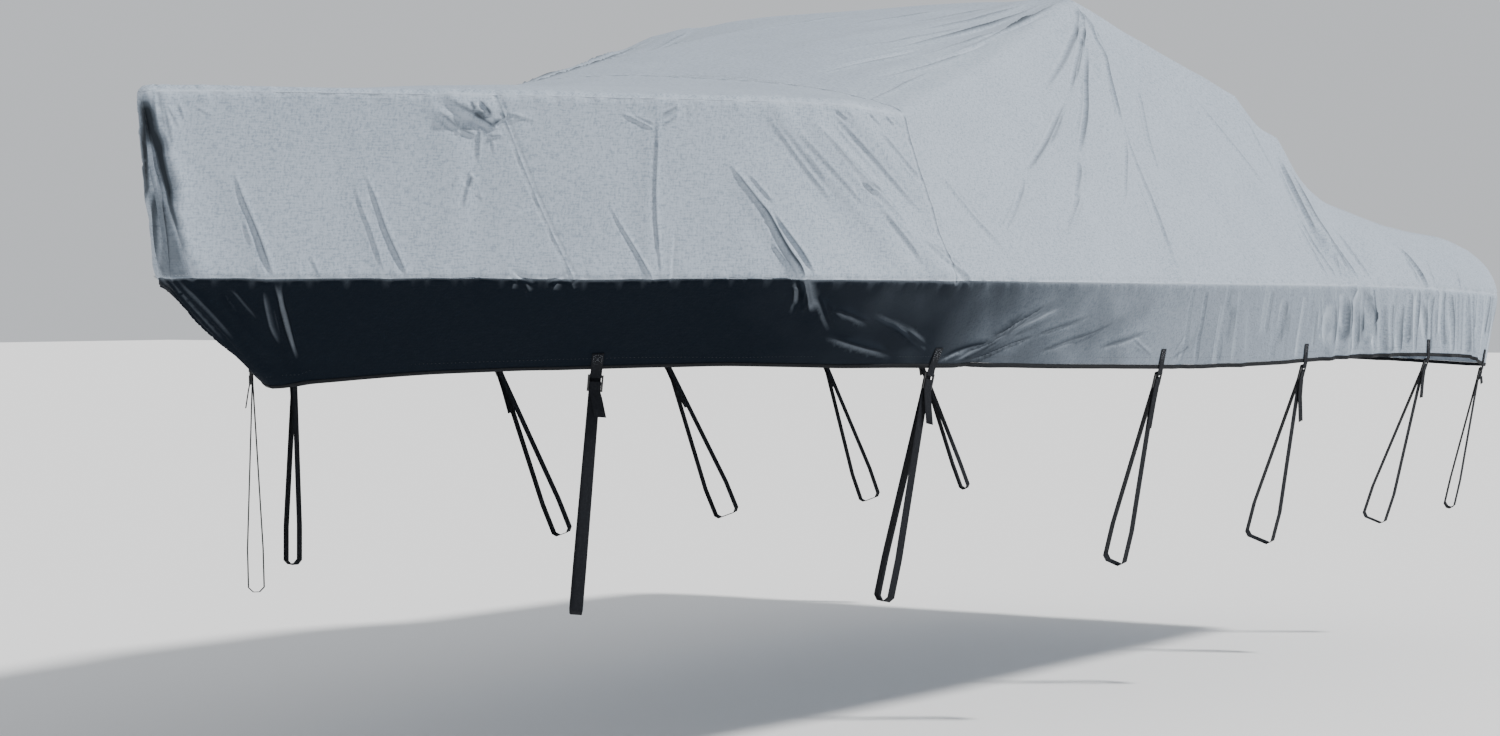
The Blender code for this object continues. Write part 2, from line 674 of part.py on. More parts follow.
def build_panels(sheet, cloth):
    normals = point_normals(sheet)
    face_count = {}
    for panel, face in sheet.faces:
        for i in range(3):
            counts = face_count.setdefault(frozenset((face[i], face[(i + 1) % 3])), {})
            counts[panel] = counts.get(panel, 0) + 1
    for panel in sorted({name for name, _ in sheet.faces}):
        add_object(panel, panel_mesh(sheet, normals, panel, face_count), cloth, smooth=True)
    return normals


def swept_mesh(sections):
    """A closed solid through equal rings of points."""
    mesh = bmesh.new()
    rings = [[mesh.verts.new(p - ORIGIN) for p in ring] for ring in sections]
    size = len(rings[0])
    for before, after in zip(rings, rings[1:]):
        for k in range(size):
            mesh.faces.new((before[k], before[(k + 1) % size], after[(k + 1) % size], after[k]))
    mesh.faces.new(list(reversed(rings[0])))
    mesh.faces.new(rings[-1])
    bmesh.ops.triangulate(mesh, faces=mesh.faces[:])
    bmesh.ops.recalc_face_normals(mesh, faces=mesh.faces[:])
    return mesh


def build_binding(word, side, sheet, normals, material):
    """The narrow bound edge that follows the hem of one side."""
    along = [
        (mark[0], i)
        for i, mark in enumerate(sheet.marks)
        if mark[1] == 3 and (mark[2] == side or mark[0] in (0, STERN_MIDDLE))
    ]
    hem = [i for _, i in sorted(along)]
    points = [sheet.points[i].copy() for i in hem]
    last = len(points) - 1
    sections = []
    for n, i in enumerate(hem):
        before, after = points[max(n - 1, 0)], points[min(n + 1, last)]
        out = normals[i].copy()
        down = (after - before).cross(out)
        if n in (0, last):
            # The two sides meet square at the centre line, a gap apart
            points[n].y = side * SEAM_GAP
            out.y = down.y = 0.0
        down.normalize()
        if down.z > 0:
            down = -down
        top = points[n] + down * BINDING_GAP
        bottom = top + down * BINDING_HEIGHT
        out = out.normalized() * (BINDING_THICKNESS / 2)
        sections.append((top + out, top - out, bottom - out, bottom + out))
    add_object(f"hem_binding_{word}", swept_mesh(sections), material)


def ribbon(points, widths, thickness):
    """Webbing along a path, with the direction of its width at each point."""
    sections = []
    for n, (point, width) in enumerate(zip(points, widths)):
        half = width * (WEBBING_WIDTH / 2)
        before = point - points[n - 1] if n > 0 else points[1] - point
        after = points[n + 1] - point if n < len(points) - 1 else point - points[n - 1]
        first = width.cross(before).normalized()
        second = width.cross(after).normalized()
        mean = (first + second).normalized()
        step = mean * (thickness / 2 / max(SHARPEST_MITRE, mean.dot(first)))
        over, under = point + step, point - step
        sections.append((over + half, over - half, under - half, under + half))
    return swept_mesh(sections)


def buckle_mesh(place):
    """A flat plate with two slots, made of three bars and two side pieces."""
    solid = {(i, j) for i in range(3) for j in range(5)} - {(1, 1), (1, 3)}
    mesh = bmesh.new()
    corners = {}

    def corner(i, j, front):
        if (i, j, front) not in corners:
            n = BAR_THICKNESS / 2 if front else -BAR_THICKNESS / 2
            corners[i, j, front] = mesh.verts.new(place(BUCKLE_DOWN[j], n, BUCKLE_ACROSS[i]) - ORIGIN)
        return corners[i, j, front]

    for i, j in sorted(solid):
        ring = ((i, j), (i + 1, j), (i + 1, j + 1), (i, j + 1))
        mesh.faces.new([corner(*c, True) for c in ring])
        mesh.faces.new([corner(*c, False) for c in reversed(ring)])
        for k, neighbour in enumerate(((i, j - 1), (i + 1, j), (i, j + 1), (i - 1, j))):
            if neighbour not in solid:
                a, b = ring[k], ring[(k + 1) % 4]
                mesh.faces.new((corner(*b, True), corner(*a, True), corner(*a, False), corner(*b, False)))
    bmesh.ops.triangulate(mesh, faces=mesh.faces[:])
    bmesh.ops.recalc_face_normals(mesh, faces=mesh.faces[:])
    return mesh


def around_bar(down_start, down_end, reach, corners):
    """Path around a bar's edges: (down, out) points a reach away from it, turning at the named corners."""
    half = BAR_THICKNESS / 2
    places = {
        "front_low": (down_end, half, 0.0, 90.0),
        "back_low": (down_end, -half, -90.0, 0.0),
        "back_high": (down_start, -half, 180.0, 270.0),
        "front_high": (down_start, half, 90.0, 180.0),
    }
    path = []
    for name, backward in corners:
        down, out, first, last = places[name]
        turns = (first, last)
        for turn in reversed(turns) if backward else turns:
            angle = math.radians(turn)
            path.append((down + reach * math.cos(angle), out + reach * math.sin(angle)))
    return path


def build_strap(word, side, number, strap, webbing, plastic):
    """One tab with its buckle and its strap, in the frame of the strap's own pull."""
    aft, forward = surface(row_to_s(strap, TAB_FLAT), 3, side), surface(row_to_s(strap, -TAB_FLAT), 3, side)
    hem = (aft + forward) / 2
    waist = (surface(row_to_s(strap, TAB_FLAT), 2, side) + surface(row_to_s(strap, -TAB_FLAT), 2, side)) / 2
    along = (aft - forward).normalized()
    outward = along.cross(waist - hem).normalized()
    if outward.y * side < 0:
        outward = -outward
    down_skirt = along.cross(outward)
    if down_skirt.z > 0:
        down_skirt = -down_skirt

    # The tab lies on the skirt, passes the binding and bends into the line of pull
    off_cloth = CLOTH / 2 + CLEARANCE + WEBBING / 2
    off_binding = BINDING_THICKNESS / 2 + 2 * CLEARANCE + WEBBING / 2
    tab_top = hem - down_skirt * TAB_ABOVE_HEM + outward * off_cloth
    bend = hem + down_skirt * (BINDING_HEIGHT + TAB_BELOW_BINDING) + outward * off_binding
    foot = Vector((strap.foot_x, strap.foot_w * side, FOOT_Z))
    down = (foot - bend).normalized()
    across = (along - down * along.dot(down)).normalized()
    out = down.cross(across)
    if out.dot(outward) < 0:
        out = -out
    reach = CLEARANCE + WEBBING / 2
    front = BAR_THICKNESS / 2 + reach
    start = bend + down * TAB_TO_BUCKLE - out * front
    length = (foot - start).dot(down)

    def place(d, n, w=0.0):
        return start + down * d + out * n + across * w

    top_bar = around_bar(
        BUCKLE_DOWN[0],
        BUCKLE_DOWN[1],
        reach,
        (("front_low", True), ("back_low", True), ("back_high", True)),
    )
    tab_end = (BUCKLE_DOWN[0] - reach, BAR_THICKNESS / 2 - WEBBING)
    tab_path = [tab_top, bend] + [place(d, n) for d, n in top_bar + [tab_end]]
    tab_widths = [along, along] + [across] * (len(tab_path) - 2)
    add_object(f"strap_tab_{word}_{number}", ribbon(tab_path, tab_widths, WEBBING), webbing)
    add_object(f"buckle_{word}_{number}", buckle_mesh(place), plastic)

    middle_bar = around_bar(
        BUCKLE_DOWN[2],
        BUCKLE_DOWN[3],
        reach,
        (("front_high", False), ("back_high", False)),
    )
    behind = front + WEBBING + CLEARANCE
    half = strap.loop / 2
    parting = BUCKLE_DOWN[-1] + PARTING_BELOW
    spread = (half + front) / (length - LOOP_HEIGHT - parting)

    def tail_out(down_by, free):
        """The tail hangs clear of the strand behind it."""
        return max(front + free, spread * (down_by - parting) - front + TAIL_CLEAR)

    bend_at = strap.tail * TAIL_BEND
    path = [
        (strap.tail, tail_out(strap.tail, TAIL_END_LIFT), strap.swing),
        (bend_at, tail_out(bend_at, TAIL_BEND_LIFT), strap.swing * TAIL_BEND_SWING),
        (BUCKLE_DOWN[-1], front, 0.0),
    ]
    path += [(d, n, 0.0) for d, n in middle_bar]
    path += [
        (parting, -front, 0.0),
        (length - LOOP_HEIGHT, half, 0.0),
        (length - LOOP_CORNER, half, 0.0),
        (length, half - LOOP_CORNER, 0.0),
        (length, LOOP_CORNER - half, 0.0),
        (length - LOOP_CORNER, -half, 0.0),
        (length - LOOP_HEIGHT, -half, 0.0),
        (parting, -behind, 0.0),
        (-END_ABOVE, -behind, 0.0),
    ]
    strap_mesh = ribbon([place(*p) for p in path], [across] * len(path), WEBBING)
    add_object(f"strap_{word}_{number}", strap_mesh, webbing)


def main():
    clear_scene()
    cloth = make_material("cover_cloth", (0.40, 0.44, 0.47), 0.85)
    edging = make_material("binding_tape", (0.012, 0.013, 0.015), 0.8)
    webbing = make_material("strap_webbing", (0.012, 0.013, 0.015), 0.75)
    plastic = make_material("buckle_plastic", (0.010, 0.010, 0.011), 0.42)
    sheet = build_sheet()
    normals = build_panels(sheet, cloth)
    for word, side in SIDES.items():
        build_binding(word, side, sheet, normals, edging)
        for number, strap in enumerate(STRAPS, start=1):
            build_strap(word, side, number, strap, webbing, plastic)


main()
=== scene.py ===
"""Looks of the boat cover: draped cloth panels with their folds and seams, bound hem, webbing straps and buckles.

Places are worked out in the cover's own terms, as in the part's source: x runs aft from the tip of the bow, w is the
distance out from the centre line, and z is the height above the waist seam. A place on the cloth is (s, v): s counts
the sections from the bow, and v runs from the centre line over the top's edge (1) and the waist seam (2) to the
hem (3). Lengths are in metres.
"""

import math
import random
from collections import namedtuple

import bpy
import numpy as np
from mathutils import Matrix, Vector
from mathutils.kdtree import KDTree


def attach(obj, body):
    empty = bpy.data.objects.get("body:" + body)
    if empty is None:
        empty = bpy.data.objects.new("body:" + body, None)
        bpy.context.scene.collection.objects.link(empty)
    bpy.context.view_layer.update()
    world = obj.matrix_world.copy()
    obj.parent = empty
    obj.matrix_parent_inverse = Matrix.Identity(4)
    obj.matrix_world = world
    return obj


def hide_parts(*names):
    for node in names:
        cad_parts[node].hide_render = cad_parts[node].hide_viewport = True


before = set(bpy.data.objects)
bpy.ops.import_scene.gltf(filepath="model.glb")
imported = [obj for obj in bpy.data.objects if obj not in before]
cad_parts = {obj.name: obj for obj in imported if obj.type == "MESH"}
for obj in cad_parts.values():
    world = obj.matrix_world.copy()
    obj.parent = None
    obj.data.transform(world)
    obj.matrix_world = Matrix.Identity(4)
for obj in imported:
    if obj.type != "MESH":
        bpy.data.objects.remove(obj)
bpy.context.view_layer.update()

# ---------------------------------------------------------------- sizes shared with the part's source
CLOTH = 0.002
PEAK_X = 3.07
PEAK_Z = 0.844
ORIGIN = np.array((PEAK_X, 0.0, PEAK_Z - CLOTH / 2))
PORT = -1
STARBOARD = 1
SIDES = {"port": PORT, "starboard": STARBOARD}
DOWN = np.array((0.0, 0.0, -1.0))
# Anything smaller counts as nothing, and divides as TINY
WELD = 1e-6
TINY = 1e-12

ROW_SLANTED_SEAM = 5
ROW_DECK_SEAM = 9
EDGE_ROUNDING = 0.022
EDGE_RISE = 0.009
CROWN_POWER = 3.0
SIDE_HOLLOW = 0.010
STERN_CORNER = 0.10
STERN_HEM_RISE = 0.03

SLACK_STARTS = 1.25
SLACK_HELD_UNTIL = 2.30
SLACK_ENDS = 4.00
SLACK_SKEW = 0.65
SLACK_BELLY = 0.085
SLACK_PEAK = 0.042
SLACK_FORM = (0.45, 0.55)

Section = namedtuple("Section", "bend edge_x edge_w edge_z waist_x waist_w waist_z hem_x hem_w hem_z mid_z round")

# One row for each section of the port side, from the bow to the stern corner. "bend" marks a hard bend, "edge" is the
# line where the top turns down into the side, "waist" the waist seam, "hem" the hem and "mid" the centre line's height.
# "round" is how far the side bulges out between edge and waist. All but "bend" are in millimetres here.
SECTIONS = [Section(row[0], *(size / 1000 for size in row[1:])) for row in (
    (1, 0, 0, 413, 88, 0, 0, 419, 0, -247, 413, 0), (0, 18, 26, 415, 103, 56, 0, 430, 26, -243, 416, 0),
    (0, 75, 78, 417, 165, 116, 0, 470, 76, -235, 420, 0), (0, 215, 210, 420, 310, 252, 0, 575, 178, -222, 427, 0),
    (0, 400, 384, 421, 510, 445, 0, 730, 330, -212, 435, 0), (0, 575, 548, 421, 730, 652, 0, 905, 510, -205, 444, 0),
    (0, 840, 785, 421, 950, 856, 0, 1070, 682, -200, 457, 0),
    (0, 1050, 940, 421, 1130, 1005, 0, 1230, 830, -200, 469, 0),
    (0, 1270, 1045, 419, 1370, 1105, 0, 1430, 960, -203, 487, 0),
    (1, 1490, 1090, 405, 1640, 1160, 0, 1670, 1055, -206, 522, 0),
    (0, 1900, 1005, 500, 1980, 1195, 0, 1990, 1110, -210, 620, 0),
    (0, 2300, 925, 600, 2340, 1212, 0, 2340, 1145, -218, 697, 0),
    (0, 2700, 840, 712, 2710, 1220, 0, 2710, 1168, -226, 770, 0),
    (1, 3070, 766, 829, 3070, 1222, 0, 3070, 1180, -232, 835, 0),
    (0, 3500, 833, 711, 3500, 1222, 0, 3500, 1190, -230, 700, 0),
    (1, 3930, 900, 593, 3930, 1220, 0, 3930, 1196, -224, 575, 0),
    (0, 4030, 935, 505, 4030, 1219, 0, 4030, 1198, -222, 548, 0),
    (1, 4140, 955, 470, 4140, 1218, 0, 4140, 1199, -221, 515, 0),
    (0, 4250, 1000, 335, 4250, 1216, 0, 4250, 1200, -220, 480, 10),
    (0, 4360, 1030, 268, 4360, 1214, -1, 4360, 1200, -220, 444, 20),
    (0, 4600, 1060, 222, 4600, 1211, -3, 4600, 1200, -221, 364, 30),
    (0, 5000, 1080, 176, 5000, 1204, -10, 5000, 1197, -228, 267, 30),
    (0, 5350, 1090, 160, 5350, 1197, -18, 5345, 1182, -242, 201, 30),
    (1, 5600, 1080, 135, 5600, 1190, -26, 5580, 1150, -272, 165, 30),
)]
LAST_ROW = len(SECTIONS) - 1
CORNER_END = LAST_ROW + 1
STERN_MIDDLE = LAST_ROW + 2

Fold = namedtuple("Fold", "from_s from_v to_s to_v width from_depth to_depth")


def fold_table(*rows):
    """Folds from rows of two places (s, v) in hundredths, then the width and the depth at both ends in millimetres."""
    return [Fold(*(place / 100 for place in row[:4]), *(size / 1000 for size in row[4:])) for row in rows]


# The main folds, as in the solids, but for a few that are shallower or narrower here where fine creases join them
FOLDS = fold_table(
    (55, 106, 88, 150, 26, 13, 15), (88, 150, 110, 192, 30, 15, 6), (230, 150, 235, 205, 36, 2, 3),
    (80, 215, 105, 280, 40, -12, -10), (145, 220, 155, 260, 35, -12, -6), (225, 240, 185, 290, 40, -13, -10),
    (355, 150, 355, 205, 40, 2, 3), (442, 111, 485, 108, 24, 8, 7), (458, 102, 474, 107, 22, 7, 7),
    (470, 123, 425, 200, 55, -7, -3), (605, 105, 560, 200, 36, 3, 3), (666, 140, 704, 193, 30, 2, 5),
    (704, 193, 746, 240, 34, 5, 6), (725, 107, 835, 190, 55, 8, 11), (765, 115, 890, 198, 55, 9, 10),
    (810, 104, 910, 160, 55, 11, 4), (1290, 107, 1005, 148, 70, 14, 6), (1285, 120, 1085, 175, 70, 13, 5),
    (1290, 118, 1200, 168, 60, 11, 5), (1325, 128, 1235, 198, 60, 4, 12), (1270, 98, 960, 82, 70, 10, 5),
    (1280, 80, 1040, 50, 80, 9, 4), (1665, 120, 1640, 170, 50, 10, 15), (1640, 170, 1760, 223, 50, 15, 8),
    (1720, 125, 1760, 195, 55, -10, -10), (2045, 143, 2065, 202, 55, 4, 13), (935, 290, 1030, 223, 45, 16, 8),
    (1090, 260, 1185, 220, 45, 10, 6), (1245, 295, 1275, 255, 40, 16, 6), (1360, 295, 1350, 230, 45, 12, 4),
    (1520, 210, 1535, 295, 45, 6, 16), (1650, 210, 1665, 295, 40, 10, 18), (1840, 210, 1855, 295, 40, 10, 20),
    (1940, 215, 1945, 295, 40, 8, 18), (2015, 210, 2018, 295, 40, 8, 14), (2125, 210, 2115, 295, 45, 9, 20),
    (2180, 220, 2185, 295, 45, 6, 16), (2235, 210, 2225, 295, 45, 8, 16), (2360, 210, 2360, 295, 45, 8, 14),
    (2435, 210, 2432, 295, 50, 6, 16), (2470, 210, 2474, 295, 50, 6, 14),
)
FOLD_LIP_AT = 1.25
LIP_WIDTH = 0.8
WALL_MIDDLE = 0.95
WALL_SKEW = 0.35
FOLD_STEPS = 8
FOLD_FADE = 3.5
BOW_ROWS = 3
BOW_ROOM = 0.3

BINDING_HEIGHT = 0.012
BINDING_THICKNESS = 0.004
BINDING_GAP = 0.0004
WEBBING_WIDTH = 0.028
WEBBING = 0.0016
CLEARANCE = 0.00045
TAB_ABOVE_HEM = 0.045
TAB_BELOW_BINDING = 0.0030
TAB_TO_BUCKLE = 0.010
TAB_CALM = 0.10
TAB_CALM_FROM = 0.5
TAB_MIDDLE_V = 2.88
TAB_FLAT = 0.026
BAR_THICKNESS = 0.004
BUCKLE_DOWN = (0.0, 0.005, 0.017, 0.023, 0.035, 0.040)
LOOP_HEIGHT = 0.11
LOOP_CORNER = 0.012
TAIL_CLEAR = 0.005
FOOT_Z = -0.80

Strap = namedtuple("Strap", "station foot_x foot_w loop tail swing")
STRAPS = [
    Strap(5.28, 0.930, 0.510, 0.040, 0.100, 0.018),
    Strap(9.08, 1.600, 0.975, 0.044, 0.125, 0.024),
    Strap(12.25, 2.910, 0.980, 0.064, 0.165, -0.006),
    Strap(14.69, 3.910, 1.000, 0.090, 0.190, 0.045),
    Strap(20.66, 4.900, 1.000, 0.080, 0.135, 0.030),
    Strap(22.86, 5.650, 1.000, 0.036, 0.055, 0.004),
]

# ---------------------------------------------------------------- sizes of the fine cloth
# Fine creases of the port side, beside the main folds
CREASES = fold_table(
    # Bow tip and facet
    (34, 101, 70, 136, 32, 18, 22), (50, 118, 96, 162, 26, 20, 18), (78, 144, 114, 196, 16, 13, 5),
    (122, 104, 128, 130, 12, 3, 2), (130, 106, 155, 120, 10, 3, 1), (160, 105, 170, 116, 10, 3, 1),
    (45, 195, 75, 260, 14, 5, 3), (180, 208, 195, 240, 12, 4, 2),
    # Long shallow creases down the bow side
    (234, 138, 250, 202, 11, 4, 11), (246, 201, 200, 284, 12, -9, -7), (256, 202, 210, 280, 10, 6, 4),
    (358, 138, 370, 203, 11, 3, 9), (295, 185, 300, 200, 12, 1, 3),
    # Pinch under the top's edge
    (452, 102, 484, 113, 22, 4, 11), (474, 109, 492, 118, 18, 10, 12), (484, 102, 490, 111, 12, 8, 10),
    (488, 116, 504, 110, 12, 11, 8), (480, 107, 488, 107, 12, -6, -6), (440, 108, 458, 119, 16, 4, 9),
    (456, 118, 472, 122, 13, 9, 5), (479, 122, 494, 121, 12, 6, 4), (477, 116, 463, 137, 10, 6, 3),
    (455, 142, 446, 150, 13, 8, 7), (447, 148, 435, 162, 12, 6, 2),
    # Slanted seam's puckers
    (498, 108, 525, 114, 12, 4, 1), (454, 195, 470, 204, 14, -5, -8), (478, 203, 500, 195, 14, -8, -4),
    (462, 202, 466, 214, 12, -7, -3), (488, 202, 484, 212, 12, -7, -3), (495, 160, 460, 170, 13, 2, 1),
    # Upright crease under the top's edge, with its V at the top and its double foot
    (578, 108, 600, 117, 10, 3, 5), (628, 103, 608, 109, 10, 5, 7), (627, 108, 606, 115, 10, 4, 5),
    (608, 97, 566, 206, 8, 4, 6), (552, 156, 564, 206, 8, 3, 7), (594, 170, 574, 206, 10, -3, -4),
    # Long slack crease
    (662, 134, 696, 168, 10, 6, 10), (684, 154, 712, 204, 12, 9, 18), (710, 196, 736, 240, 20, -14, -12),
    (702, 198, 726, 240, 14, 10, 4), (686, 178, 698, 192, 8, 4, 6), (730, 216, 770, 262, 16, 8, 3),
    (712, 202, 718, 245, 14, 6, 3), (755, 230, 810, 250, 18, 8, 4), (760, 262, 860, 288, 20, 6, 8),
    # Fan of slack creases
    (705, 104, 770, 160, 16, 3, 4), (735, 112, 810, 162, 14, 4, 3), (750, 106, 860, 174, 16, 5, 4),
    (785, 103, 890, 162, 14, 5, 3), (802, 142, 822, 152, 10, 7, 6), (820, 156, 862, 192, 14, 4, 5),
    (845, 110, 905, 142, 14, 4, 3), (860, 170, 930, 204, 16, 3, 6), (915, 130, 990, 190, 20, 3, 4),
    (790, 102, 805, 109, 9, 4, 2), (835, 102, 855, 110, 9, 4, 2), (865, 102, 880, 108, 9, 4, 2),
    # From the peak down the side
    (1303, 100, 1262, 117, 10, 8, 6), (1300, 101, 1252, 111, 10, 8, 5), (1305, 102, 1294, 128, 10, 7, 6),
    (1295, 105, 1140, 122, 14, 8, 4), (1295, 107, 1190, 126, 14, 9, 10), (1195, 125, 1055, 150, 15, 10, 7),
    (1065, 148, 985, 177, 14, 7, 2), (1288, 112, 1162, 150, 13, 10, 9), (1166, 148, 1110, 168, 13, 9, 3),
    (1296, 112, 1278, 146, 12, 9, 7), (1280, 144, 1195, 172, 13, 7, 3), (1292, 134, 1236, 199, 10, 4, 5),
    (1140, 160, 1070, 180, 14, 7, 3), (1302, 103, 1298, 112, 9, 7, 4), (1340, 120, 1295, 166, 13, 5, 4),
    # From the peak over the top
    (1295, 97, 1090, 90, 16, 10, 5), (1290, 90, 1020, 72, 17, 10, 5), (1285, 84, 1110, 66, 16, 9, 4),
    (1275, 72, 1150, 52, 17, 8, 3), (1260, 55, 1130, 35, 18, 7, 3), (1100, 93, 940, 86, 15, 7, 4),
    (1230, 95, 1090, 86, 12, 6, 4), (1160, 90, 1000, 81, 12, 6, 3), (1190, 80, 1040, 67, 13, 6, 3),
    (1120, 74, 980, 60, 13, 5, 2), (1020, 92, 870, 92, 12, 5, 3), (1250, 98, 1120, 91, 13, -6, -4),
    (1140, 93, 1000, 88, 13, -6, -3), (1220, 87, 1080, 76, 13, -6, -3), (1080, 80, 960, 71, 13, -5, -3),
    (1060, 82, 920, 70, 15, 6, 3), (1240, 20, 1110, 5, 20, 5, 2),
    # Down the aft slope from the peak
    (1320, 95, 1480, 88, 22, 4, 3), (1420, 110, 1490, 155, 22, 3, 4), (1502, 106, 1560, 140, 16, 4, 3),
    # Pulls from the aft corner down to the gathers
    (1655, 112, 1620, 175, 13, 8, 9), (1675, 116, 1670, 190, 12, 9, 10), (1695, 135, 1698, 202, 11, 6, 9),
    (1700, 120, 1720, 204, 13, 9, 9), (1730, 130, 1810, 202, 12, 8, 6), (1820, 135, 1890, 200, 12, 5, 6),
    (1580, 150, 1610, 202, 13, 4, 8), (1510, 160, 1520, 202, 13, 3, 6), (2030, 135, 2060, 202, 12, 7, 10),
    (2080, 145, 2075, 202, 11, 4, 7), (2160, 155, 2150, 202, 12, 3, 7),
    # Skirt: wide hollows and thin ridges between the fourth and fifth straps
    (1330, 220, 1334, 280, 36, 6, 4), (1425, 210, 1415, 285, 40, 8, 6), (1555, 215, 1550, 290, 36, 7, 9),
    (1655, 212, 1645, 285, 44, 12, 10), (1755, 230, 1770, 296, 40, 9, 12), (1810, 205, 1920, 285, 40, 9, 11),
    (1990, 230, 1995, 296, 34, 9, 9), (2050, 212, 2062, 288, 34, 9, 9), (1605, 208, 1622, 292, 18, -8, -9),
    (1708, 205, 1698, 288, 18, -9, -7), (1885, 230, 1840, 294, 18, -8, -8), (1490, 210, 1502, 290, 18, -6, -8),
    # Skirt: pulls at the second and third straps
    (910, 295, 966, 264, 14, 13, 13), (962, 266, 1034, 220, 16, 13, 4), (930, 298, 995, 264, 14, -9, -9),
    (990, 266, 1060, 228, 15, -9, -3), (945, 298, 1030, 262, 12, 10, 8), (1026, 264, 1100, 236, 13, 8, 2),
    (895, 290, 830, 250, 14, 8, 3), (893, 278, 800, 240, 16, 6, 4), (1030, 286, 1140, 246, 16, 6, 4),
    (1120, 280, 1200, 255, 16, 7, 3), (1238, 296, 1270, 272, 10, 8, 4), (1242, 290, 1260, 255, 10, 6, 2),
    (1212, 293, 1170, 266, 12, 6, 3),
)
SWAY_TURNS = (1.0, 2.7)
SWAY_SECOND = 0.6

# A fainter companion beside each wider crease: how far aside, the share of the crease at which it starts and ends
COMPANION_SEED = 41
COMPANIONS_FROM = 1.25
COMPANION_WIDTH = 0.009
COMPANION_ASIDE = (0.016, 0.034)
COMPANION_STARTS = (0.05, 0.35)
COMPANION_ENDS = (0.6, 0.95)
COMPANION_DEPTH = (0.3, 0.6)
COMPANION_NARROW = 0.9
COMPANION_PARTING = 1.5

# Gathers of the skirt: how far apart they are at the start and the end of the gathered stretch, their size and places
GATHER_SEED = {PORT: 11, STARBOARD: 23}
GATHER_FROM = 12.6
GATHER_ENDS_BEFORE = 0.05
GATHER_SPACING = (0.075, 0.036)
GATHER_UNEVEN = (0.6, 1.5)
GATHER_WIDTH = (0.009, 0.020)
GATHER_DEPTH = (0.004, 0.0125)
GATHER_TOP_DEPTH = (0.5, 1.0)
GATHER_GROWTH = (0.45, 0.55)
GATHER_RIDGES = 0.4
GATHER_LEAN = 0.022
GATHER_BELOW_WAIST = (0.02, 0.35)
GATHER_BELOW_SHARE = 0.55
GATHER_TO_HEM_SHARE = 0.75
GATHER_SHORT = (2.55, 2.9)
STERN_HALF = 1.1

# A kind of fold: the lip beside it, the share of its depth in the sharp middle of the valley, the share of its length
# in which each end fades out, how much narrower it is made and how far it sways, and how far its place (s) and its
# depth are off on the starboard side
Kind = namedtuple("Kind", "lip core taper narrow sway shift ease")
FOLD_SHIFT = 0.22
MAIN_FOLD = Kind(0.35, 0.36, 0.0, 1.0, 0.0, FOLD_SHIFT, 0.18)
CREASE = Kind(0.5, 0.5, 0.3, 0.62, 0.006, FOLD_SHIFT * 0.7, 0.0)
GATHER = Kind(0.5, 0.35, 0.08, 1.0, 0.0, 0.0, 0.0)
CORE_WIDTH = 0.45

# Slight unevenness all over, from a few waves
RIPPLE_SEED = 5
RIPPLE_WAVES = 14
RIPPLE_SHORTEST = 0.12
RIPPLE_LONGER = 0.05
RIPPLE_HEIGHT = 0.0016

# The sheet starts as a coarse grid, and is refined near creases and seams
COARSE_STEP = 0.03
STERN_LINES = 32
FAN_LINES = 5
SIDE_LINES = 14
SKIRT_LINES = 8
COARSE_PORT = 0.032
COARSE_STARBOARD = 0.044
STARBOARD_COARSER = 2.3
FINEST = 0.0046
SIZE_TO_WIDTH = 0.55
REACH_TO_WIDTH = 1.1
SIZE_GROWTH = 1.0
SIZE_BETWEEN = (0.5, 5.5)
SIZE_AT_ENDS = (0.8, 2.1)
SAMPLE_STEP = 0.008
REFINE_ROUNDS = 12
# How a triangle of corners 0 to 2 and edge middles 3 to 5 is cut, by how many of its edges are split
CUTS = {
    1: ((0, 3, 2), (3, 1, 2)),
    2: ((3, 1, 4), (0, 3, 4), (0, 4, 2)),
    3: ((0, 3, 5), (3, 1, 4), (5, 4, 2), (3, 4, 5)),
}

# Seams: the places of each, how strongly its painted line of shade and highlight shows, and how high it rolls up (0
# where it is sewn flat)
Seam = namedtuple("Seam", "s v line roll")
NOSE_SEAM = 0.88
SEAMS = (
    Seam(np.linspace(0.05, ROW_DECK_SEAM, 160), 1.0, 0.0048, 0.0016),
    Seam(np.linspace(0.02, STERN_MIDDLE, 420), 2.0, 0.0048, 0.0032),
    Seam(NOSE_SEAM, np.linspace(1.0, 2.0, 60), 0.0048, 0.0),
    Seam(ROW_SLANTED_SEAM, np.linspace(1.0, 2.0, 60), 0.0036, 0.0),
    Seam(ROW_DECK_SEAM, np.linspace(0.0, 2.0, 120), 0.0066, 0.0),
)
SEAM_HALF = 0.0085
SEAM_RAISED = 0.0014
SEAM_EDGE = 0.0035
SEAM_FINENESS = 1.5
SEAM_GROOVE = 0.0016
SEAM_GROOVE_HALF = 0.0026
# Share of painted highlight beside a flat seam's groove
SEAM_LIT = 0.5
SEAM_BOX = 0.05
SEAM_REACH = 0.06
ROLL_HALF = 0.0055
PUCKER_SEED = 9
PUCKER = 0.016
PUCKER_PITCHES = (0.017, 0.029, 0.047, 0.083)
PUCKER_BEND = 2.0
PUCKER_DRIFT = 7.0
PUCKER_REACH = 0.028
PUCKER_FREE = 0.006
# How strongly the puckers get painted highlight and painted shade
PUCKER_TINT = 0.6
# Painted shade on the narrow facet at the nose, and the calm stretch beside the centre line at the bow
NOSE_PAINTED_SHADE = 0.0080
NOSE_SHADE_FADE = (0.12, 0.1)
NOSE_CALM = 0.05
TOP_ENDS_V = 0.9
SLOPE_STEP = 0.004

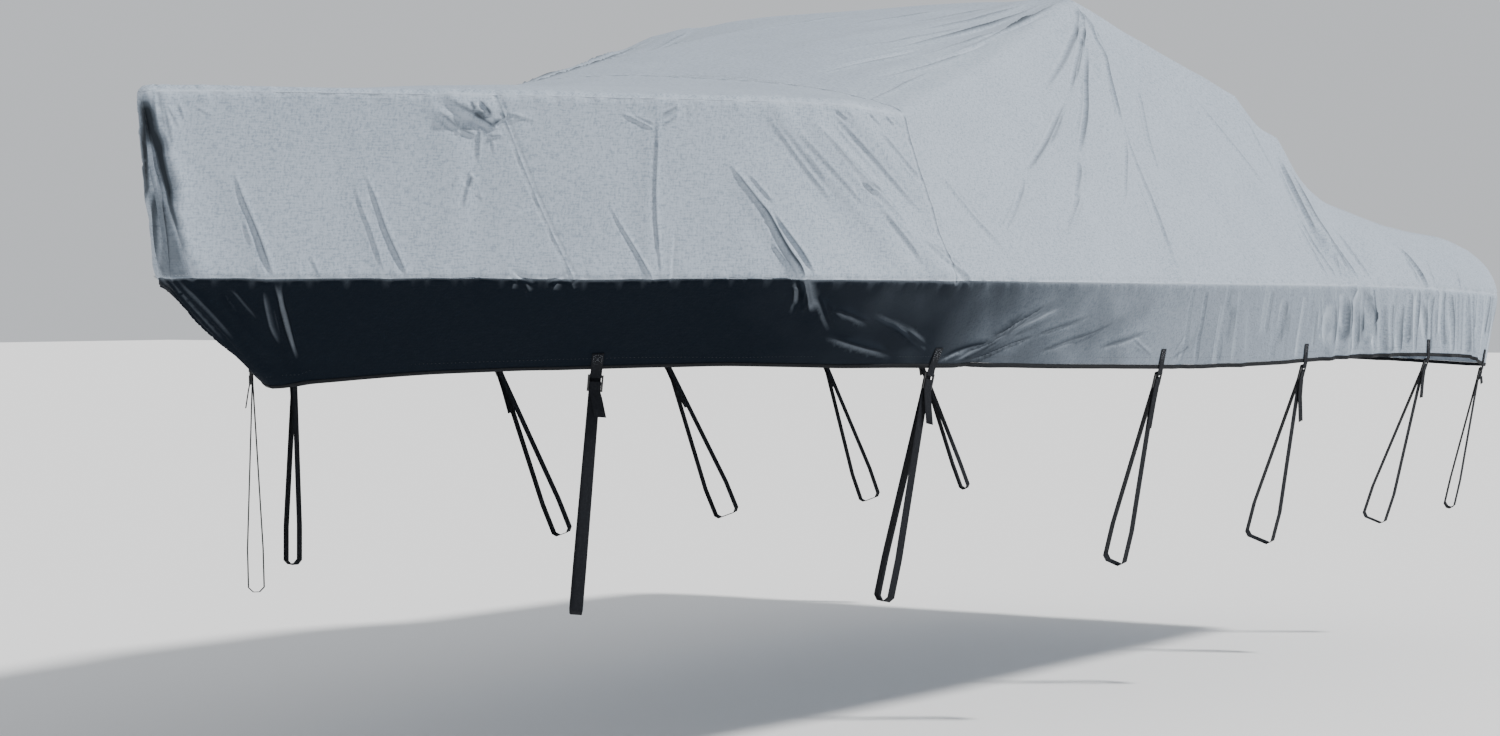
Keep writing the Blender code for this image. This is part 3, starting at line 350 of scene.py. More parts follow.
# Stitches: length, distance apart and thickness of the threads beside the seams, and of those in a tab's box
Thread = namedtuple("Thread", "length pitch thick")
SEAM_THREAD = Thread(0.0055, 0.0095, 0.0011)
BOX_THREAD = Thread(0.0035, 0.0055, 0.0009)
STITCH_OFFSET = 0.0085
STITCH_LIFT = 0.3
EDGE_TO_WAIST = 0.43
SKIRT_DROP = 0.235
HEM_WIDTH = 0.020
ROWS_START = 0.15
ROWS_STOP_SHORT = 0.02
DECK_STOP_SHORT = 0.03
DECK_ROW_POINTS = 400
AROUND_POINTS = 900
UPRIGHT_POINTS = 260
UPRIGHT_ROWS = ((NOSE_SEAM, "nose", 1.04), (ROW_SLANTED_SEAM, "slanted", 1.02), (ROW_DECK_SEAM, "deck", 0.03))


# ---------------------------------------------------------------- small helpers
def unit(vector):
    return vector / np.linalg.norm(vector)


def toward(vector, way):
    """The vector, turned around if it points away from the given way."""
    return -vector if vector @ way < 0 else vector


def bell(x):
    return np.exp(-(x**2))


def run_along(path):
    """Length of the path passed at each of its points."""
    return np.concatenate([[0], np.cumsum(np.linalg.norm(np.diff(path, axis=0), axis=1))])


def at_marks(path, run, marks):
    """Places on the path at the marks, where run is its length passed at each point."""
    return np.stack([np.interp(marks, run, path[:, k]) for k in range(3)], axis=1)


def near_box(points, path, margin):
    """Which points lie in the path's box, widened by the margin."""
    low, high = path.min(axis=0) - margin, path.max(axis=0) + margin
    return np.flatnonzero(((points > low) & (points < high)).all(axis=1))


# ---------------------------------------------------------------- the smooth cloth
def column_table():
    """Lengths between the rows, and the values and the slopes after and before each row of the table's columns."""
    waist = np.array([(row.waist_x, row.waist_w) for row in SECTIONS])
    lengths = np.linalg.norm(np.diff(waist, axis=0), axis=1)
    values = np.array([row[1:] for row in SECTIONS])
    rises = np.diff(values, axis=0) / lengths[:, None]
    after = np.vstack([rises, rises[-1:]])
    before = np.vstack([rises[:1], rises])
    for k in range(1, LAST_ROW):
        if not SECTIONS[k].bend:
            total = lengths[k - 1] + lengths[k]
            after[k] = before[k] = (rises[k - 1] * lengths[k] + rises[k] * lengths[k - 1]) / total
    return lengths, values, after, before


LENGTHS, VALUES, SLOPES_AFTER, SLOPES_BEFORE = column_table()


def row_length(s):
    """Length of the waist seam between the two sections around s."""
    return LENGTHS[min(int(s), LAST_ROW - 1)]


def sections_at(s):
    """Columns of the table at the row positions s, smooth between the bends."""
    s = np.clip(s, 0, LAST_ROW)
    k = np.minimum(s.astype(int), LAST_ROW - 1)
    f = (s - k)[:, None]
    length = LENGTHS[k][:, None]
    rows = (
        VALUES[k] * (2 * f**3 - 3 * f**2 + 1)
        + SLOPES_AFTER[k] * length * (f**3 - 2 * f**2 + f)
        + VALUES[k + 1] * (3 * f**2 - 2 * f**3)
        + SLOPES_BEFORE[k + 1] * length * (f**3 - f**2)
    )
    return dict(zip(Section._fields[1:], rows.T))


def slack_at(x, share):
    """How far the starboard cloth sags."""
    before = (x - SLACK_STARTS) / (PEAK_X - SLACK_STARTS)
    after = (SLACK_ENDS - x) / (SLACK_ENDS - PEAK_X)
    belly = SLACK_BELLY * np.sin(math.pi * np.clip(before, 0, 1) ** SLACK_SKEW)
    held = np.clip((SLACK_HELD_UNTIL - x) / (SLACK_HELD_UNTIL - SECTIONS[ROW_DECK_SEAM].edge_x), 0, 1)
    belly = belly * (1 - (1 - share) ** 3) * (1 - held * share**4)
    form = SLACK_FORM[0] * share + SLACK_FORM[1] * share**2
    return belly + SLACK_PEAK * np.clip(np.minimum(before, after), 0, 1) * form


def top_points(row, share, side):
    w = row["edge_w"] * share
    crown = (row["mid_z"] - row["edge_z"]) * (1 - share**CROWN_POWER)
    z = row["edge_z"] + crown + EDGE_RISE * np.minimum(1.0, (row["edge_w"] - w) / EDGE_ROUNDING)
    z = np.where(side > 0, z - slack_at(row["edge_x"], share), z)
    return np.stack([row["edge_x"], side * w, z], axis=1)


def mix(a, b, f):
    return a + (b - a) * f[:, None]


def surface(s, v, side):
    """Middle of the smooth cloth at the places (s, v)."""
    s, v, side = (np.asarray(q, dtype=float) for q in np.broadcast_arrays(s, v, side))
    row = sections_at(s)
    turn = np.clip(s - LAST_ROW, 0, 1)
    share = np.where(s > CORNER_END, STERN_MIDDLE - s, 1.0)
    drop_x = STERN_CORNER * np.sin(turn * math.pi / 2)
    drop_w = STERN_CORNER * (1 - np.cos(turn * math.pi / 2))
    waist = np.stack([row["waist_x"] + drop_x, side * (row["waist_w"] - drop_w) * share, row["waist_z"]], axis=1)
    rise = STERN_HEM_RISE * (1 - share**2)
    hem = np.stack([row["hem_x"] + drop_x, side * (row["hem_w"] - drop_w) * share, row["hem_z"] + rise], axis=1)
    edge = top_points(row, share, side)
    q = np.clip(v - 1, 0, 1)
    drop = waist - edge
    out_side = np.stack([np.zeros_like(s), -drop[:, 2], drop[:, 1]], axis=1) * side[:, None]
    out_stern = np.stack([-drop[:, 2], np.zeros_like(s), drop[:, 0]], axis=1)
    out = mix(out_side, out_stern, turn)
    size = np.linalg.norm(out, axis=1)
    out /= np.where(size < WELD, 1.0, size)[:, None]
    out[size < WELD] = 0.0
    bulge = (row["round"] - SIDE_HOLLOW) * np.sin(math.pi * q)
    points = mix(edge, waist, q) + out * bulge[:, None]
    low, on_top = v >= 2, (v <= 1) & (s <= LAST_ROW)
    points[low] = mix(waist[low], hem[low], v[low] - 2)
    points[on_top] = top_points(row, v, side)[on_top]
    return points


def place_of(s, v, side):
    return surface([s], [v], [side])[0]


# ---------------------------------------------------------------- the fine sheet
def coarse_patches():
    """The coarse grids as (side, stations, lines). Neighbours have the same places where they meet."""
    stations = [0.0]
    for k, length in enumerate(LENGTHS):
        count = max(2, round(length / COARSE_STEP))
        stations += [k + (i + 1) / count for i in range(count)]
    around = stations + [LAST_ROW + i / FAN_LINES for i in range(1, FAN_LINES + 1)]
    around += [CORNER_END + i / STERN_LINES for i in range(1, STERN_LINES + 1)]
    top = [i / STERN_LINES for i in range(STERN_LINES + 1)]
    wall = [1 + i / SIDE_LINES for i in range(SIDE_LINES + 1)]
    skirt = [2 + i / SKIRT_LINES for i in range(SKIRT_LINES + 1)]
    return [(side, *grid) for side in SIDES.values() for grid in ((stations, top), (around, wall), (around, skirt))]


class FineSheet:
    """The cloth as triangles. Each has three corner places (s, v, side), and shares its points with its neighbours."""

    def __init__(self):
        corners = []
        for side, stations, lines in coarse_patches():
            for s0, s1 in zip(stations, stations[1:]):
                for v0, v1 in zip(lines, lines[1:]):
                    a, b, c, d = (s0, v0, side), (s1, v0, side), (s1, v1, side), (s0, v1, side)
                    corners += [(a, b, c), (a, c, d)] if side == PORT else [(a, c, b), (a, d, c)]
        self.corners = np.array(corners, dtype=float)
        points = surface(*self.corners.reshape(-1, 3).T)
        _, first, triangles = np.unique(np.round(points / WELD), axis=0, return_index=True, return_inverse=True)
        self.points = points[first]
        self.sizes = np.zeros(0)
        triangles = triangles.reshape(-1, 3)
        a, b, c = triangles.T
        whole = (a != b) & (b != c) & (c != a)
        self.triangles, self.corners = triangles[whole], self.corners[whole]

    def edges(self):
        """Unique edges, and for each triangle the numbers of its three edges."""
        ends = np.sort(self.triangles[:, [0, 1, 1, 2, 2, 0]].reshape(-1, 2), axis=1).astype(np.int64)
        keys, inverse = np.unique(ends[:, 0] * len(self.points) + ends[:, 1], return_inverse=True)
        return np.stack([keys // len(self.points), keys % len(self.points)], axis=1), inverse.reshape(-1, 3)

    def refine(self, size_at):
        """Splits the edges that are longer than size_at allows. True if any was."""
        self.sizes = np.concatenate([self.sizes, size_at(self.points[len(self.sizes):])])
        unique, of_triangle = self.edges()
        lengths = np.linalg.norm(self.points[unique[:, 1]] - self.points[unique[:, 0]], axis=1)
        marked = lengths > self.sizes[unique].mean(axis=1)
        if not marked.any():
            return False
        longest = of_triangle[np.arange(len(of_triangle)), lengths[of_triangle].argmax(axis=1)]
        needed = longest[marked[of_triangle].any(axis=1)]
        while not marked[needed].all():
            marked[needed] = True
            needed = longest[marked[of_triangle].any(axis=1)]
        self.split(of_triangle, marked)
        return True

    def split(self, of_triangle, marked):
        """Puts a point in the middle of each marked edge, and cuts the triangles there."""
        middle = np.full(len(marked), -1)
        middle[marked] = np.arange(marked.sum())
        fresh = np.zeros((marked.sum(), 3))
        hit = marked[of_triangle]
        count = hit.sum(axis=1)
        triangles, corners = [self.triangles[count == 0]], [self.corners[count == 0]]
        for number, cuts in CUTS.items():
            rows = np.flatnonzero(count == number)
            # Turn each triangle so that its marked edges come first
            turn = hit[rows].argmax(axis=1) if number == 1 else (hit[rows].argmin(axis=1) + 1) % 3 * (number == 2)
            order = (turn[:, None] + np.arange(3)) % 3
            middles = middle[np.take_along_axis(of_triangle[rows], order, axis=1)]
            ids = np.take_along_axis(self.triangles[rows], order, axis=1)
            ids = np.concatenate([ids, middles + len(self.points)], axis=1)
            places = np.take_along_axis(self.corners[rows], order[:, :, None], axis=1)
            places = np.concatenate([places, (places + np.roll(places, -1, axis=1)) / 2], axis=1)
            for k in range(number):
                fresh[middles[:, k]] = surface(*places[:, 3 + k].T)
            triangles += [ids[:, cut] for cut in cuts]
            corners += [places[:, cut] for cut in cuts]
        self.points = np.vstack([self.points, fresh])
        self.triangles = np.vstack(triangles)
        self.corners = np.vstack(corners)

    def places(self):
        """One place (s, v, side) of each point."""
        found = np.zeros((len(self.points), 3))
        found[self.triangles.ravel()] = self.corners.reshape(-1, 3)
        return found


def panel_names(sheet):
    """The panel of each triangle."""
    s, v, side = sheet.corners.mean(axis=1).T
    names = np.full(len(s), "main_panel", dtype=object)
    names[(v < 1) & (s < ROW_DECK_SEAM)] = "foredeck_panel"
    for word, way in SIDES.items():
        names[(v > 1) & (s < ROW_DECK_SEAM) & (side == way)] = f"bow_side_panel_{word}_aft"
        names[(v > 1) & (s < ROW_SLANTED_SEAM) & (side == way)] = f"bow_side_panel_{word}_front"
        names[(v > 2) & (side == way)] = f"skirt_{word}"
    return names


def size_field(lines):
    """A function that says how long an edge may be at given points. lines holds (path, fine size, reach)."""
    spread = []
    for path, _, _ in lines:
        run = run_along(path)
        spread.append(at_marks(path, run, np.linspace(0, run[-1], max(2, int(run[-1] / SAMPLE_STEP)))))
    counts = [len(points) for points in spread]
    sizes, reaches = (np.repeat([line[k] for line in lines], counts) for k in (1, 2))
    tree = KDTree(sum(counts))
    for n, point in enumerate(np.vstack(spread)):
        tree.insert(point, n)
    tree.balance()

    def size_at(points):
        found = [tree.find(point)[1:] for point in points]
        near = np.array([n for n, _ in found])
        distance = np.array([d for _, d in found]) - reaches[near]
        fine = sizes[near] + np.maximum(0, distance) * SIZE_GROWTH
        port = points[:, 1] < 0
        fine *= np.where(port, 1.0, STARBOARD_COARSER)
        fine *= np.interp(points[:, 0], SIZE_BETWEEN, SIZE_AT_ENDS)
        return np.minimum(fine, np.where(port, COARSE_PORT, COARSE_STARBOARD))

    return size_at


def build_fine_sheet(creases):
    lines = [(path, max(width * SIZE_TO_WIDTH, FINEST), width * REACH_TO_WIDTH) for path, width, *_ in creases]
    lines += [(path, SEAM_EDGE * SEAM_FINENESS, SEAM_HALF + SEAM_EDGE) for _, path in seam_paths()]
    size_at = size_field(lines)
    sheet = FineSheet()
    for _ in range(REFINE_ROUNDS):
        if not sheet.refine(size_at):
            break
    return sheet


def point_normals(points, triangles):
    a, b, c = (points[triangles[:, i]] for i in range(3))
    across = np.cross(b - a, c - a)
    normals = np.zeros_like(points)
    for i in range(3):
        np.add.at(normals, triangles[:, i], across)
    size = np.linalg.norm(normals, axis=1)
    return normals / np.maximum(size, TINY)[:, None]


# ---------------------------------------------------------------- folds
def fold_path(fold, side, shift=0.0, sway=0.0):
    """Points along a fold. sway bends it aside, as a share of its length, in two uneven turns."""
    f = np.linspace(0, 1, FOLD_STEPS + 1)
    first, second = (np.sin(f * turns * math.pi) for turns in SWAY_TURNS)
    aside = sway * (first + SWAY_SECOND * second)
    s = np.clip(fold.from_s + (fold.to_s - fold.from_s) * f + shift + aside, 0, STERN_MIDDLE)
    return surface(s, fold.from_v + (fold.to_v - fold.from_v) * f, side)


def nearest_on_path(path, points, reach=math.inf):
    """For each point: distance to the path, place along it in steps, step across to it, and the path's way there."""
    best, place = np.full(len(points), np.inf), np.zeros(len(points))
    across, way = np.zeros_like(points), np.zeros_like(points)
    for i, along in enumerate(np.diff(path, axis=0)):
        length = np.linalg.norm(along)
        close = np.flatnonzero(np.abs(points - path[i]).max(axis=1) < length + reach)
        if not len(close) or length == 0:
            continue
        f = np.clip((points[close] - path[i]) @ along / (along @ along), 0, 1)
        step = points[close] - (path[i] + f[:, None] * along)
        distance = np.linalg.norm(step, axis=1)
        closer = distance < best[close]
        hit = close[closer]
        best[hit], place[hit], across[hit], way[hit] = distance[closer], i + f[closer], step[closer], along
    return best, place, across, way


def fold_depths(points, normals, path, width, start, end, side, kind):
    """Depth that one fold gives each point. The aft wall is the steeper one, and past it the cloth rises in a lip."""
    near = near_box(points, path, FOLD_FADE * width)
    if not len(near):
        return near, np.zeros(0)
    distance, place, across, way = nearest_on_path(path, points[near])
    part_way = place / (len(path) - 1)
    beside = np.cross(way, normals[near])
    beside /= np.maximum(np.linalg.norm(beside, axis=1), TINY)[:, None]
    signed = (across * beside).sum(axis=1) / width * side
    x = distance / (width * (WALL_MIDDLE - WALL_SKEW * np.tanh(2 * signed)))
    past_end = np.maximum(0, (distance / width) ** 2 - signed**2)
    form = (1 - kind.core) * bell(x) + kind.core * bell(x / CORE_WIDTH)
    form -= kind.lip * bell((signed - FOLD_LIP_AT) / LIP_WIDTH) * np.exp(-past_end)
    form *= np.clip(FOLD_FADE - x, 0, 1)
    if kind.taper:
        ends = np.clip(np.minimum(part_way, 1 - part_way) / kind.taper, 0, 1)
        form *= ends * ends * (3 - 2 * ends)
    return near, (start + (end - start) * part_way) * form


def gather_folds(side):
    """Upright gathers of the skirt, denser and deeper toward the stern, placed by a seeded draw."""
    draw = random.Random(GATHER_SEED[side])
    folds = []
    s = GATHER_FROM
    while s < STERN_MIDDLE - GATHER_ENDS_BEFORE:
        aft = (min(s, LAST_ROW) - GATHER_FROM) / (LAST_ROW - GATHER_FROM)
        spacing = GATHER_SPACING[0] + (GATHER_SPACING[1] - GATHER_SPACING[0]) * aft
        row = row_length(s) if s < LAST_ROW else STERN_HALF
        if CORNER_END > s >= LAST_ROW:
            row = STERN_CORNER * math.pi / 2
        lean = draw.uniform(-GATHER_LEAN, GATHER_LEAN) / row
        from_v = 2.0 + draw.uniform(*GATHER_BELOW_WAIST) * (draw.random() < GATHER_BELOW_SHARE)
        to_v = 3.0 if draw.random() < GATHER_TO_HEM_SHARE else draw.uniform(*GATHER_SHORT)
        depth = draw.uniform(*GATHER_DEPTH) * (GATHER_GROWTH[0] + GATHER_GROWTH[1] * aft)
        depth *= -1 if draw.random() < GATHER_RIDGES else 1
        width = draw.uniform(*GATHER_WIDTH)
        folds.append(Fold(s, from_v, s + lean, to_v, width, depth * draw.uniform(*GATHER_TOP_DEPTH), depth))
        s += spacing * draw.uniform(*GATHER_UNEVEN) / row
    return folds


def companions():
    """A fainter, shorter crease beside each wider fine crease, placed by a seeded draw."""
    draw = random.Random(COMPANION_SEED)
    found = []
    for fold in CREASES:
        if fold.from_s < COMPANIONS_FROM or fold.width < COMPANION_WIDTH:
            continue
        aside = draw.uniform(*COMPANION_ASIDE) / row_length(fold.from_s) * draw.choice((-1, 1))
        start, end = draw.uniform(*COMPANION_STARTS), draw.uniform(*COMPANION_ENDS)
        run_s, run_v = fold.to_s - fold.from_s, fold.to_v - fold.from_v
        depth = draw.uniform(*COMPANION_DEPTH)
        places = (fold.from_s + run_s * start + aside, fold.from_v + run_v * start)
        places += (fold.from_s + run_s * end + aside * COMPANION_PARTING, fold.from_v + run_v * end)
        found.append(Fold(*places, fold.width * COMPANION_NARROW, fold.from_depth * depth, fold.to_depth * depth))
    return found


def all_folds():
    """Every fold of both sides as (path, width, start depth, end depth, side, kind)."""
    found = []
    for side in SIDES.values():
        kinds = ((MAIN_FOLD, FOLDS), (CREASE, CREASES + companions()), (GATHER, gather_folds(side)))
        for kind, n, fold in ((kind, n, fold) for kind, folds in kinds for n, fold in enumerate(folds)):
            turn = 1 if n % 2 else -1
            away = turn if side == STARBOARD else 0
            long = math.dist(place_of(fold.from_s, fold.from_v, side), place_of(fold.to_s, fold.to_v, side))
            sway = kind.sway * turn * (1 + n % 3) * long / row_length(fold.from_s)
            path = fold_path(fold, side, kind.shift * away, sway)
            depths = (fold.from_depth * (1 - kind.ease * away), fold.to_depth * (1 - kind.ease * away))
            found.append((path, fold.width * kind.narrow, *depths, side, kind))
    return found


def calm_at(points):
    """0 under a tab, where the cloth is pulled flat, and 1 away from it."""
    tabs = [place_of(strap.station, TAB_MIDDLE_V, side) for strap in STRAPS for side in SIDES.values()]
    nearest = np.min([np.linalg.norm(points - tab, axis=1) for tab in tabs], axis=0)
    return np.clip(nearest / TAB_CALM - TAB_CALM_FROM, 0, 1) ** 2


def lay_folds(creases, points, normals, places):
    """Depth of all folds at each point, and that of the fine ones alone, which the material paints as shade in valleys
    and as highlight on ridges.
    """
    depths, painted_shading = np.zeros(len(points)), np.zeros(len(points))
    for crease in creases:
        near, depth = fold_depths(points, normals, *crease)
        depths[near] += depth
        if crease[-1] is not MAIN_FOLD:
            painted_shading[near] += depth
    depths *= calm_at(points)
    bow = places[:, 0] < BOW_ROWS
    room = np.abs(points[:, 1]) * BOW_ROOM
    depths[bow] = np.clip(depths[bow], -room[bow], room[bow])
    return depths, painted_shading


def ripple(points):
    """Slight unevenness all over, from a few waves of different lengths and directions."""
    draw = random.Random(RIPPLE_SEED)
    height = np.zeros(len(points))
    for n in range(RIPPLE_WAVES):
        length = RIPPLE_SHORTEST + RIPPLE_LONGER * n
        way = unit(np.array([draw.gauss(0, 1) for _ in range(3)]))
        height += np.sin(points @ way * math.tau / length + draw.uniform(0, math.tau)) * length * RIPPLE_HEIGHT
    return height


def seam_paths():
    """Each seam of both sides with dense points of the smooth cloth along it."""
    return [(seam, surface(seam.s, seam.v, side)) for side in SIDES.values() for seam in SEAMS]


def seam_relief(points):
    """Raised band and puckers along the seams, and the painted line of each seam, tinted like a crease: painted
    highlight on a rolled seam, painted shade in a flat seam's groove with painted highlight beside it, and painted
    highlight and shade on the puckers.
    """
    relief, line = np.zeros(len(points)), np.zeros(len(points))
    draw = random.Random(PUCKER_SEED)
    for seam, path in seam_paths():
        near = near_box(points, path, SEAM_BOX)
        distance, place, _, _ = nearest_on_path(path, points[near], SEAM_REACH)
        run = np.interp(place, np.arange(len(path)), run_along(path))
        relief[near] += SEAM_RAISED * np.clip((SEAM_HALF + SEAM_EDGE - distance) / SEAM_EDGE, 0, 1)
        if seam.roll:
            roll = bell(distance / ROLL_HALF)
            relief[near] += seam.roll * roll
            # Painted highlight along the roll
            line[near] -= seam.line * roll
        else:
            groove = bell(distance / SEAM_GROOVE_HALF)
            relief[near] -= SEAM_GROOVE * groove
            # Painted shade in the groove and painted highlight beside it
            line[near] += seam.line * (groove - SEAM_LIT * bell((distance - SEAM_HALF) / SEAM_EDGE))
        pucker = np.zeros(len(near))
        for pitch in PUCKER_PITCHES:
            bend = PUCKER_BEND * np.sin(run * PUCKER_DRIFT + draw.uniform(0, math.tau))
            pucker += np.sin(run * math.tau / pitch + draw.uniform(0, math.tau) + bend) * pitch
        pucker *= PUCKER * bell(distance / PUCKER_REACH) * np.clip(distance / PUCKER_FREE, 0, 1)
        relief[near] += pucker
        # Painted highlight on raised puckers and painted shade on sunken ones
        line[near] -= PUCKER_TINT * pucker
    return relief, line


def deform(creases, smooth, normals, places):
    """The smooth cloth with its folds, unevenness and seams, and the painted shading of each point: the fine folds'
    depths, the seams' painted lines and the painted shade of the nose facet.
    """
    s, v, _ = places.T
    depths, painted_shading = lay_folds(creases, smooth, normals, places)
    calm = np.clip(np.abs(smooth[:, 1]) / NOSE_CALM, 0, 1) ** 0.5
    relief, line = seam_relief(smooth)
    lift = ripple(smooth) * np.clip(calm + (v < TOP_ENDS_V), 0, 1) + relief * calm
    # Painted shade on the narrow facet at the nose, between the top's edge and the waist seam
    painted_facet_shade = np.clip((NOSE_SEAM - s) / NOSE_SHADE_FADE[0], 0, 1) * np.clip((v - 1.0) / NOSE_SHADE_FADE[1], 0, 1)
    # The seams' painted lines and the nose facet's painted shade join the fine folds' painted shading
    painted_shading += line + NOSE_PAINTED_SHADE * painted_facet_shade * (v < 2)
    return smooth + normals * (lift * calm_at(smooth) - depths)[:, None], painted_shading


def cloth_at(creases, s, v, side):
    """Points and normals of the finished cloth at the places (s, v)."""
    s, v, side = (np.array(q, dtype=float) for q in np.broadcast_arrays(s, v, side))
    along = surface(s + SLOPE_STEP, v, side) - surface(s - SLOPE_STEP, v, side)
    down = surface(s, v + SLOPE_STEP, side) - surface(s, v - SLOPE_STEP, side)
    normals = np.cross(down, along) * -side[:, None]
    normals /= np.linalg.norm(normals, axis=1)[:, None]
    return deform(creases, surface(s, v, side), normals, np.stack([s, v, side], axis=1))[0], normals


# ---------------------------------------------------------------- materials
# Noises as (scale, detail, roughness)
SLUB = (1.0, 2.0, 0.55)
SPECKLE = (210.0, 3.0, 0.65)
NAP = (120.0, 5.0, 0.7)
CRUMPLE = (17.0, 5.0, 0.62)
GRAIN = (900.0, 2.0, 0.6)
# Noises of which only the values between the last two numbers count
MOTTLE = (5.5, 4.0, 0.6, 0.35, 0.65)
SHADE_WANDER = (2.6, 3.0, 0.6, 0.3, 0.7)
FUZZ = (180.0, 4.0, 0.7, 0.45, 0.75)
SCUFF = (140.0, 5.0, 0.7, 0.5, 0.75)
THREAD_TONE = (60.0, 2.0, 0.5, 0.3, 0.7)
SLUB_SPAN = (0.40, 0.60)
FUZZ_SHARE = 0.6
WEAVE_SHARE = 0.25
WEBBING_THREAD_SHARE = 0.5
# Threads per metre, and the stretch of the noise that makes thick and thin threads, along the warp and the weft
WEAVE_PER_METRE = 620.0
SLUB_STRETCHES = ((260.0, 62.0, 1.0), (62.0, 260.0, 1.0))
RIBS_PER_METRE = 420
THREADS_PER_METRE = 520
NAP_SHARE = 1.2

CLOTH_LIGHT = (0.287, 0.340, 0.408)
CLOTH_DEEP = (0.252, 0.302, 0.368)
CLOTH_DUST = (0.402, 0.454, 0.522)
DUST_SHARE = 0.75
THREAD_SHADE = (0.171, 0.207, 0.251)
THREAD_SHADE_SHARE = 0.45
CLOTH_ROUGHNESS = (0.72, 0.92)
# Painted highlight on ridges (-1) and painted shade in valleys (1): height or depth where the tone starts and is full,
# its share and its colour
PAINTED_RELIEF_TONES = (
    (-1, 0.0006, 0.0050, 0.55, (0.432, 0.486, 0.555)),
    (1, 0.0012, 0.0100, 0.85, (0.040, 0.052, 0.066)),
    (1, 0.0090, 0.0200, 0.90, (0.008, 0.012, 0.017)),
)
# Colour of the painted shade on the skirt
SKIRT_PAINTED_SHADE_TONE = (0.004, 0.007, 0.012)
# How much of the cloth's own tone shows through the skirt's painted shade: (place along the cover in the row's frame,
# share)
SKIRT_PAINTED_SHADE_STOPS = (
    (-2.0, 0.0), (-1.6, 0.02), (-1.25, 0.09), (-0.9, 0.26), (-0.5, 0.54), (0.2, 0.62), (1.0, 0.71), (2.5, 0.96),
)
# How far the edge of the skirt's painted shade wanders, and the painted highlight on the skirt's ridges
SKIRT_WANDER = 0.24
SKIRT_RIDGE_PAINTED_HIGHLIGHT = (0.0002, 0.0060, 0.0, 0.32)
TAPE_TONES = ((0.006, 0.007, 0.009), (0.018, 0.020, 0.023))
WEBBING_TONES = ((0.005, 0.006, 0.009), (0.016, 0.018, 0.022))
SEAM_THREAD_TONES = ((0.26, 0.29, 0.33), (0.46, 0.49, 0.53))
HEM_THREAD_TONES = ((0.020, 0.024, 0.030), (0.050, 0.056, 0.064))
PLASTIC_TONES = ((0.011, 0.011, 0.012), (0.035, 0.035, 0.037))
PLASTIC_ROUGHNESS = (0.38, 0.62)


class Shade:
    """A material, with short calls for the nodes that make it. Each call gives what the new node puts out."""

    def __init__(self, name, colour, roughness, specular, sheen=0.0):
        self.material = bpy.data.materials.new(name)
        self.material.use_nodes = True
        self.tree = self.material.node_tree
        finish = {"Base Color": colour, "Roughness": roughness, "Specular IOR Level": specular}
        self.surface(finish | {"Sheen Weight": sheen, "Sheen Roughness": 0.5})

    def surface(self, inputs):
        """Sets inputs of the material's own shader, and gives the material."""
        self.put(self.tree.nodes["Principled BSDF"], inputs)
        return self.material

    def put(self, node, inputs):
        """Sets each input, by its name or number, to a number or colour, or links it to another node."""
        for name, value in inputs.items():
            socket = node.inputs[name]
            if isinstance(value, bpy.types.NodeSocket):
                self.tree.links.new(value, socket)
            else:
                socket.default_value = (*value, 1.0) if socket.type == "RGBA" else value

    def node(self, kind, inputs=None, **settings):
        node = self.tree.nodes.new(f"ShaderNode{kind}")
        for name, value in settings.items():
            setattr(node, name, value)
        self.put(node, inputs or {})
        return node.outputs

    def math(self, operation, *values):
        return self.node("Math", dict(enumerate(values)), operation=operation)[0]

    def span(self, value, low, high, to_low=0.0, to_high=1.0):
        return self.node("MapRange", dict(enumerate((value, low, high, to_low, to_high))), clamp=True)[0]

    def mix(self, factor, a, b):
        return self.node("Mix", {"Factor": factor, 6: a, 7: b}, data_type="RGBA")[2]

    def noise(self, vector, scale, detail, roughness):
        inputs = {"Vector": vector, "Scale": scale, "Detail": detail, "Roughness": roughness}
        return self.node("TexNoise", inputs)["Fac"]

    def patches(self, vector, scale, detail, roughness, low, high, to_low=0.0, to_high=1.0):
        """Noise of which only the values between low and high count."""
        return self.span(self.noise(vector, scale, detail, roughness), low, high, to_low, to_high)

    def waves(self, value, rate):
        return self.math("SINE", self.math("MULTIPLY", value, rate))

    def bump(self, height, strength, distance, **more):
        return self.node("Bump", {"Height": height, "Strength": strength, "Distance": distance, **more})[0]


def painted_skirt_shade(shade, place):
    """How much of the cloth's own tone shows through the skirt's painted shade: little forward, nearly all aft."""
    wander = shade.patches(place, *SHADE_WANDER, -SKIRT_WANDER, SKIRT_WANDER)
    along = shade.math("ADD", shade.node("SeparateXYZ", {0: place})["X"], wander)
    bow, stern = SKIRT_PAINTED_SHADE_STOPS[0][0], SKIRT_PAINTED_SHADE_STOPS[-1][0]
    out = shade.node("ValToRGB", {0: shade.span(along, bow, stern)})[0]
    stops = out.node.color_ramp.elements
    for x, _ in SKIRT_PAINTED_SHADE_STOPS[1:-1]:
        stops.new((x - bow) / (stern - bow))
    for stop, (x, share) in zip(stops, SKIRT_PAINTED_SHADE_STOPS):
        stop.position = (x - bow) / (stern - bow)
        stop.color = (share, share, share, 1.0)
    return out


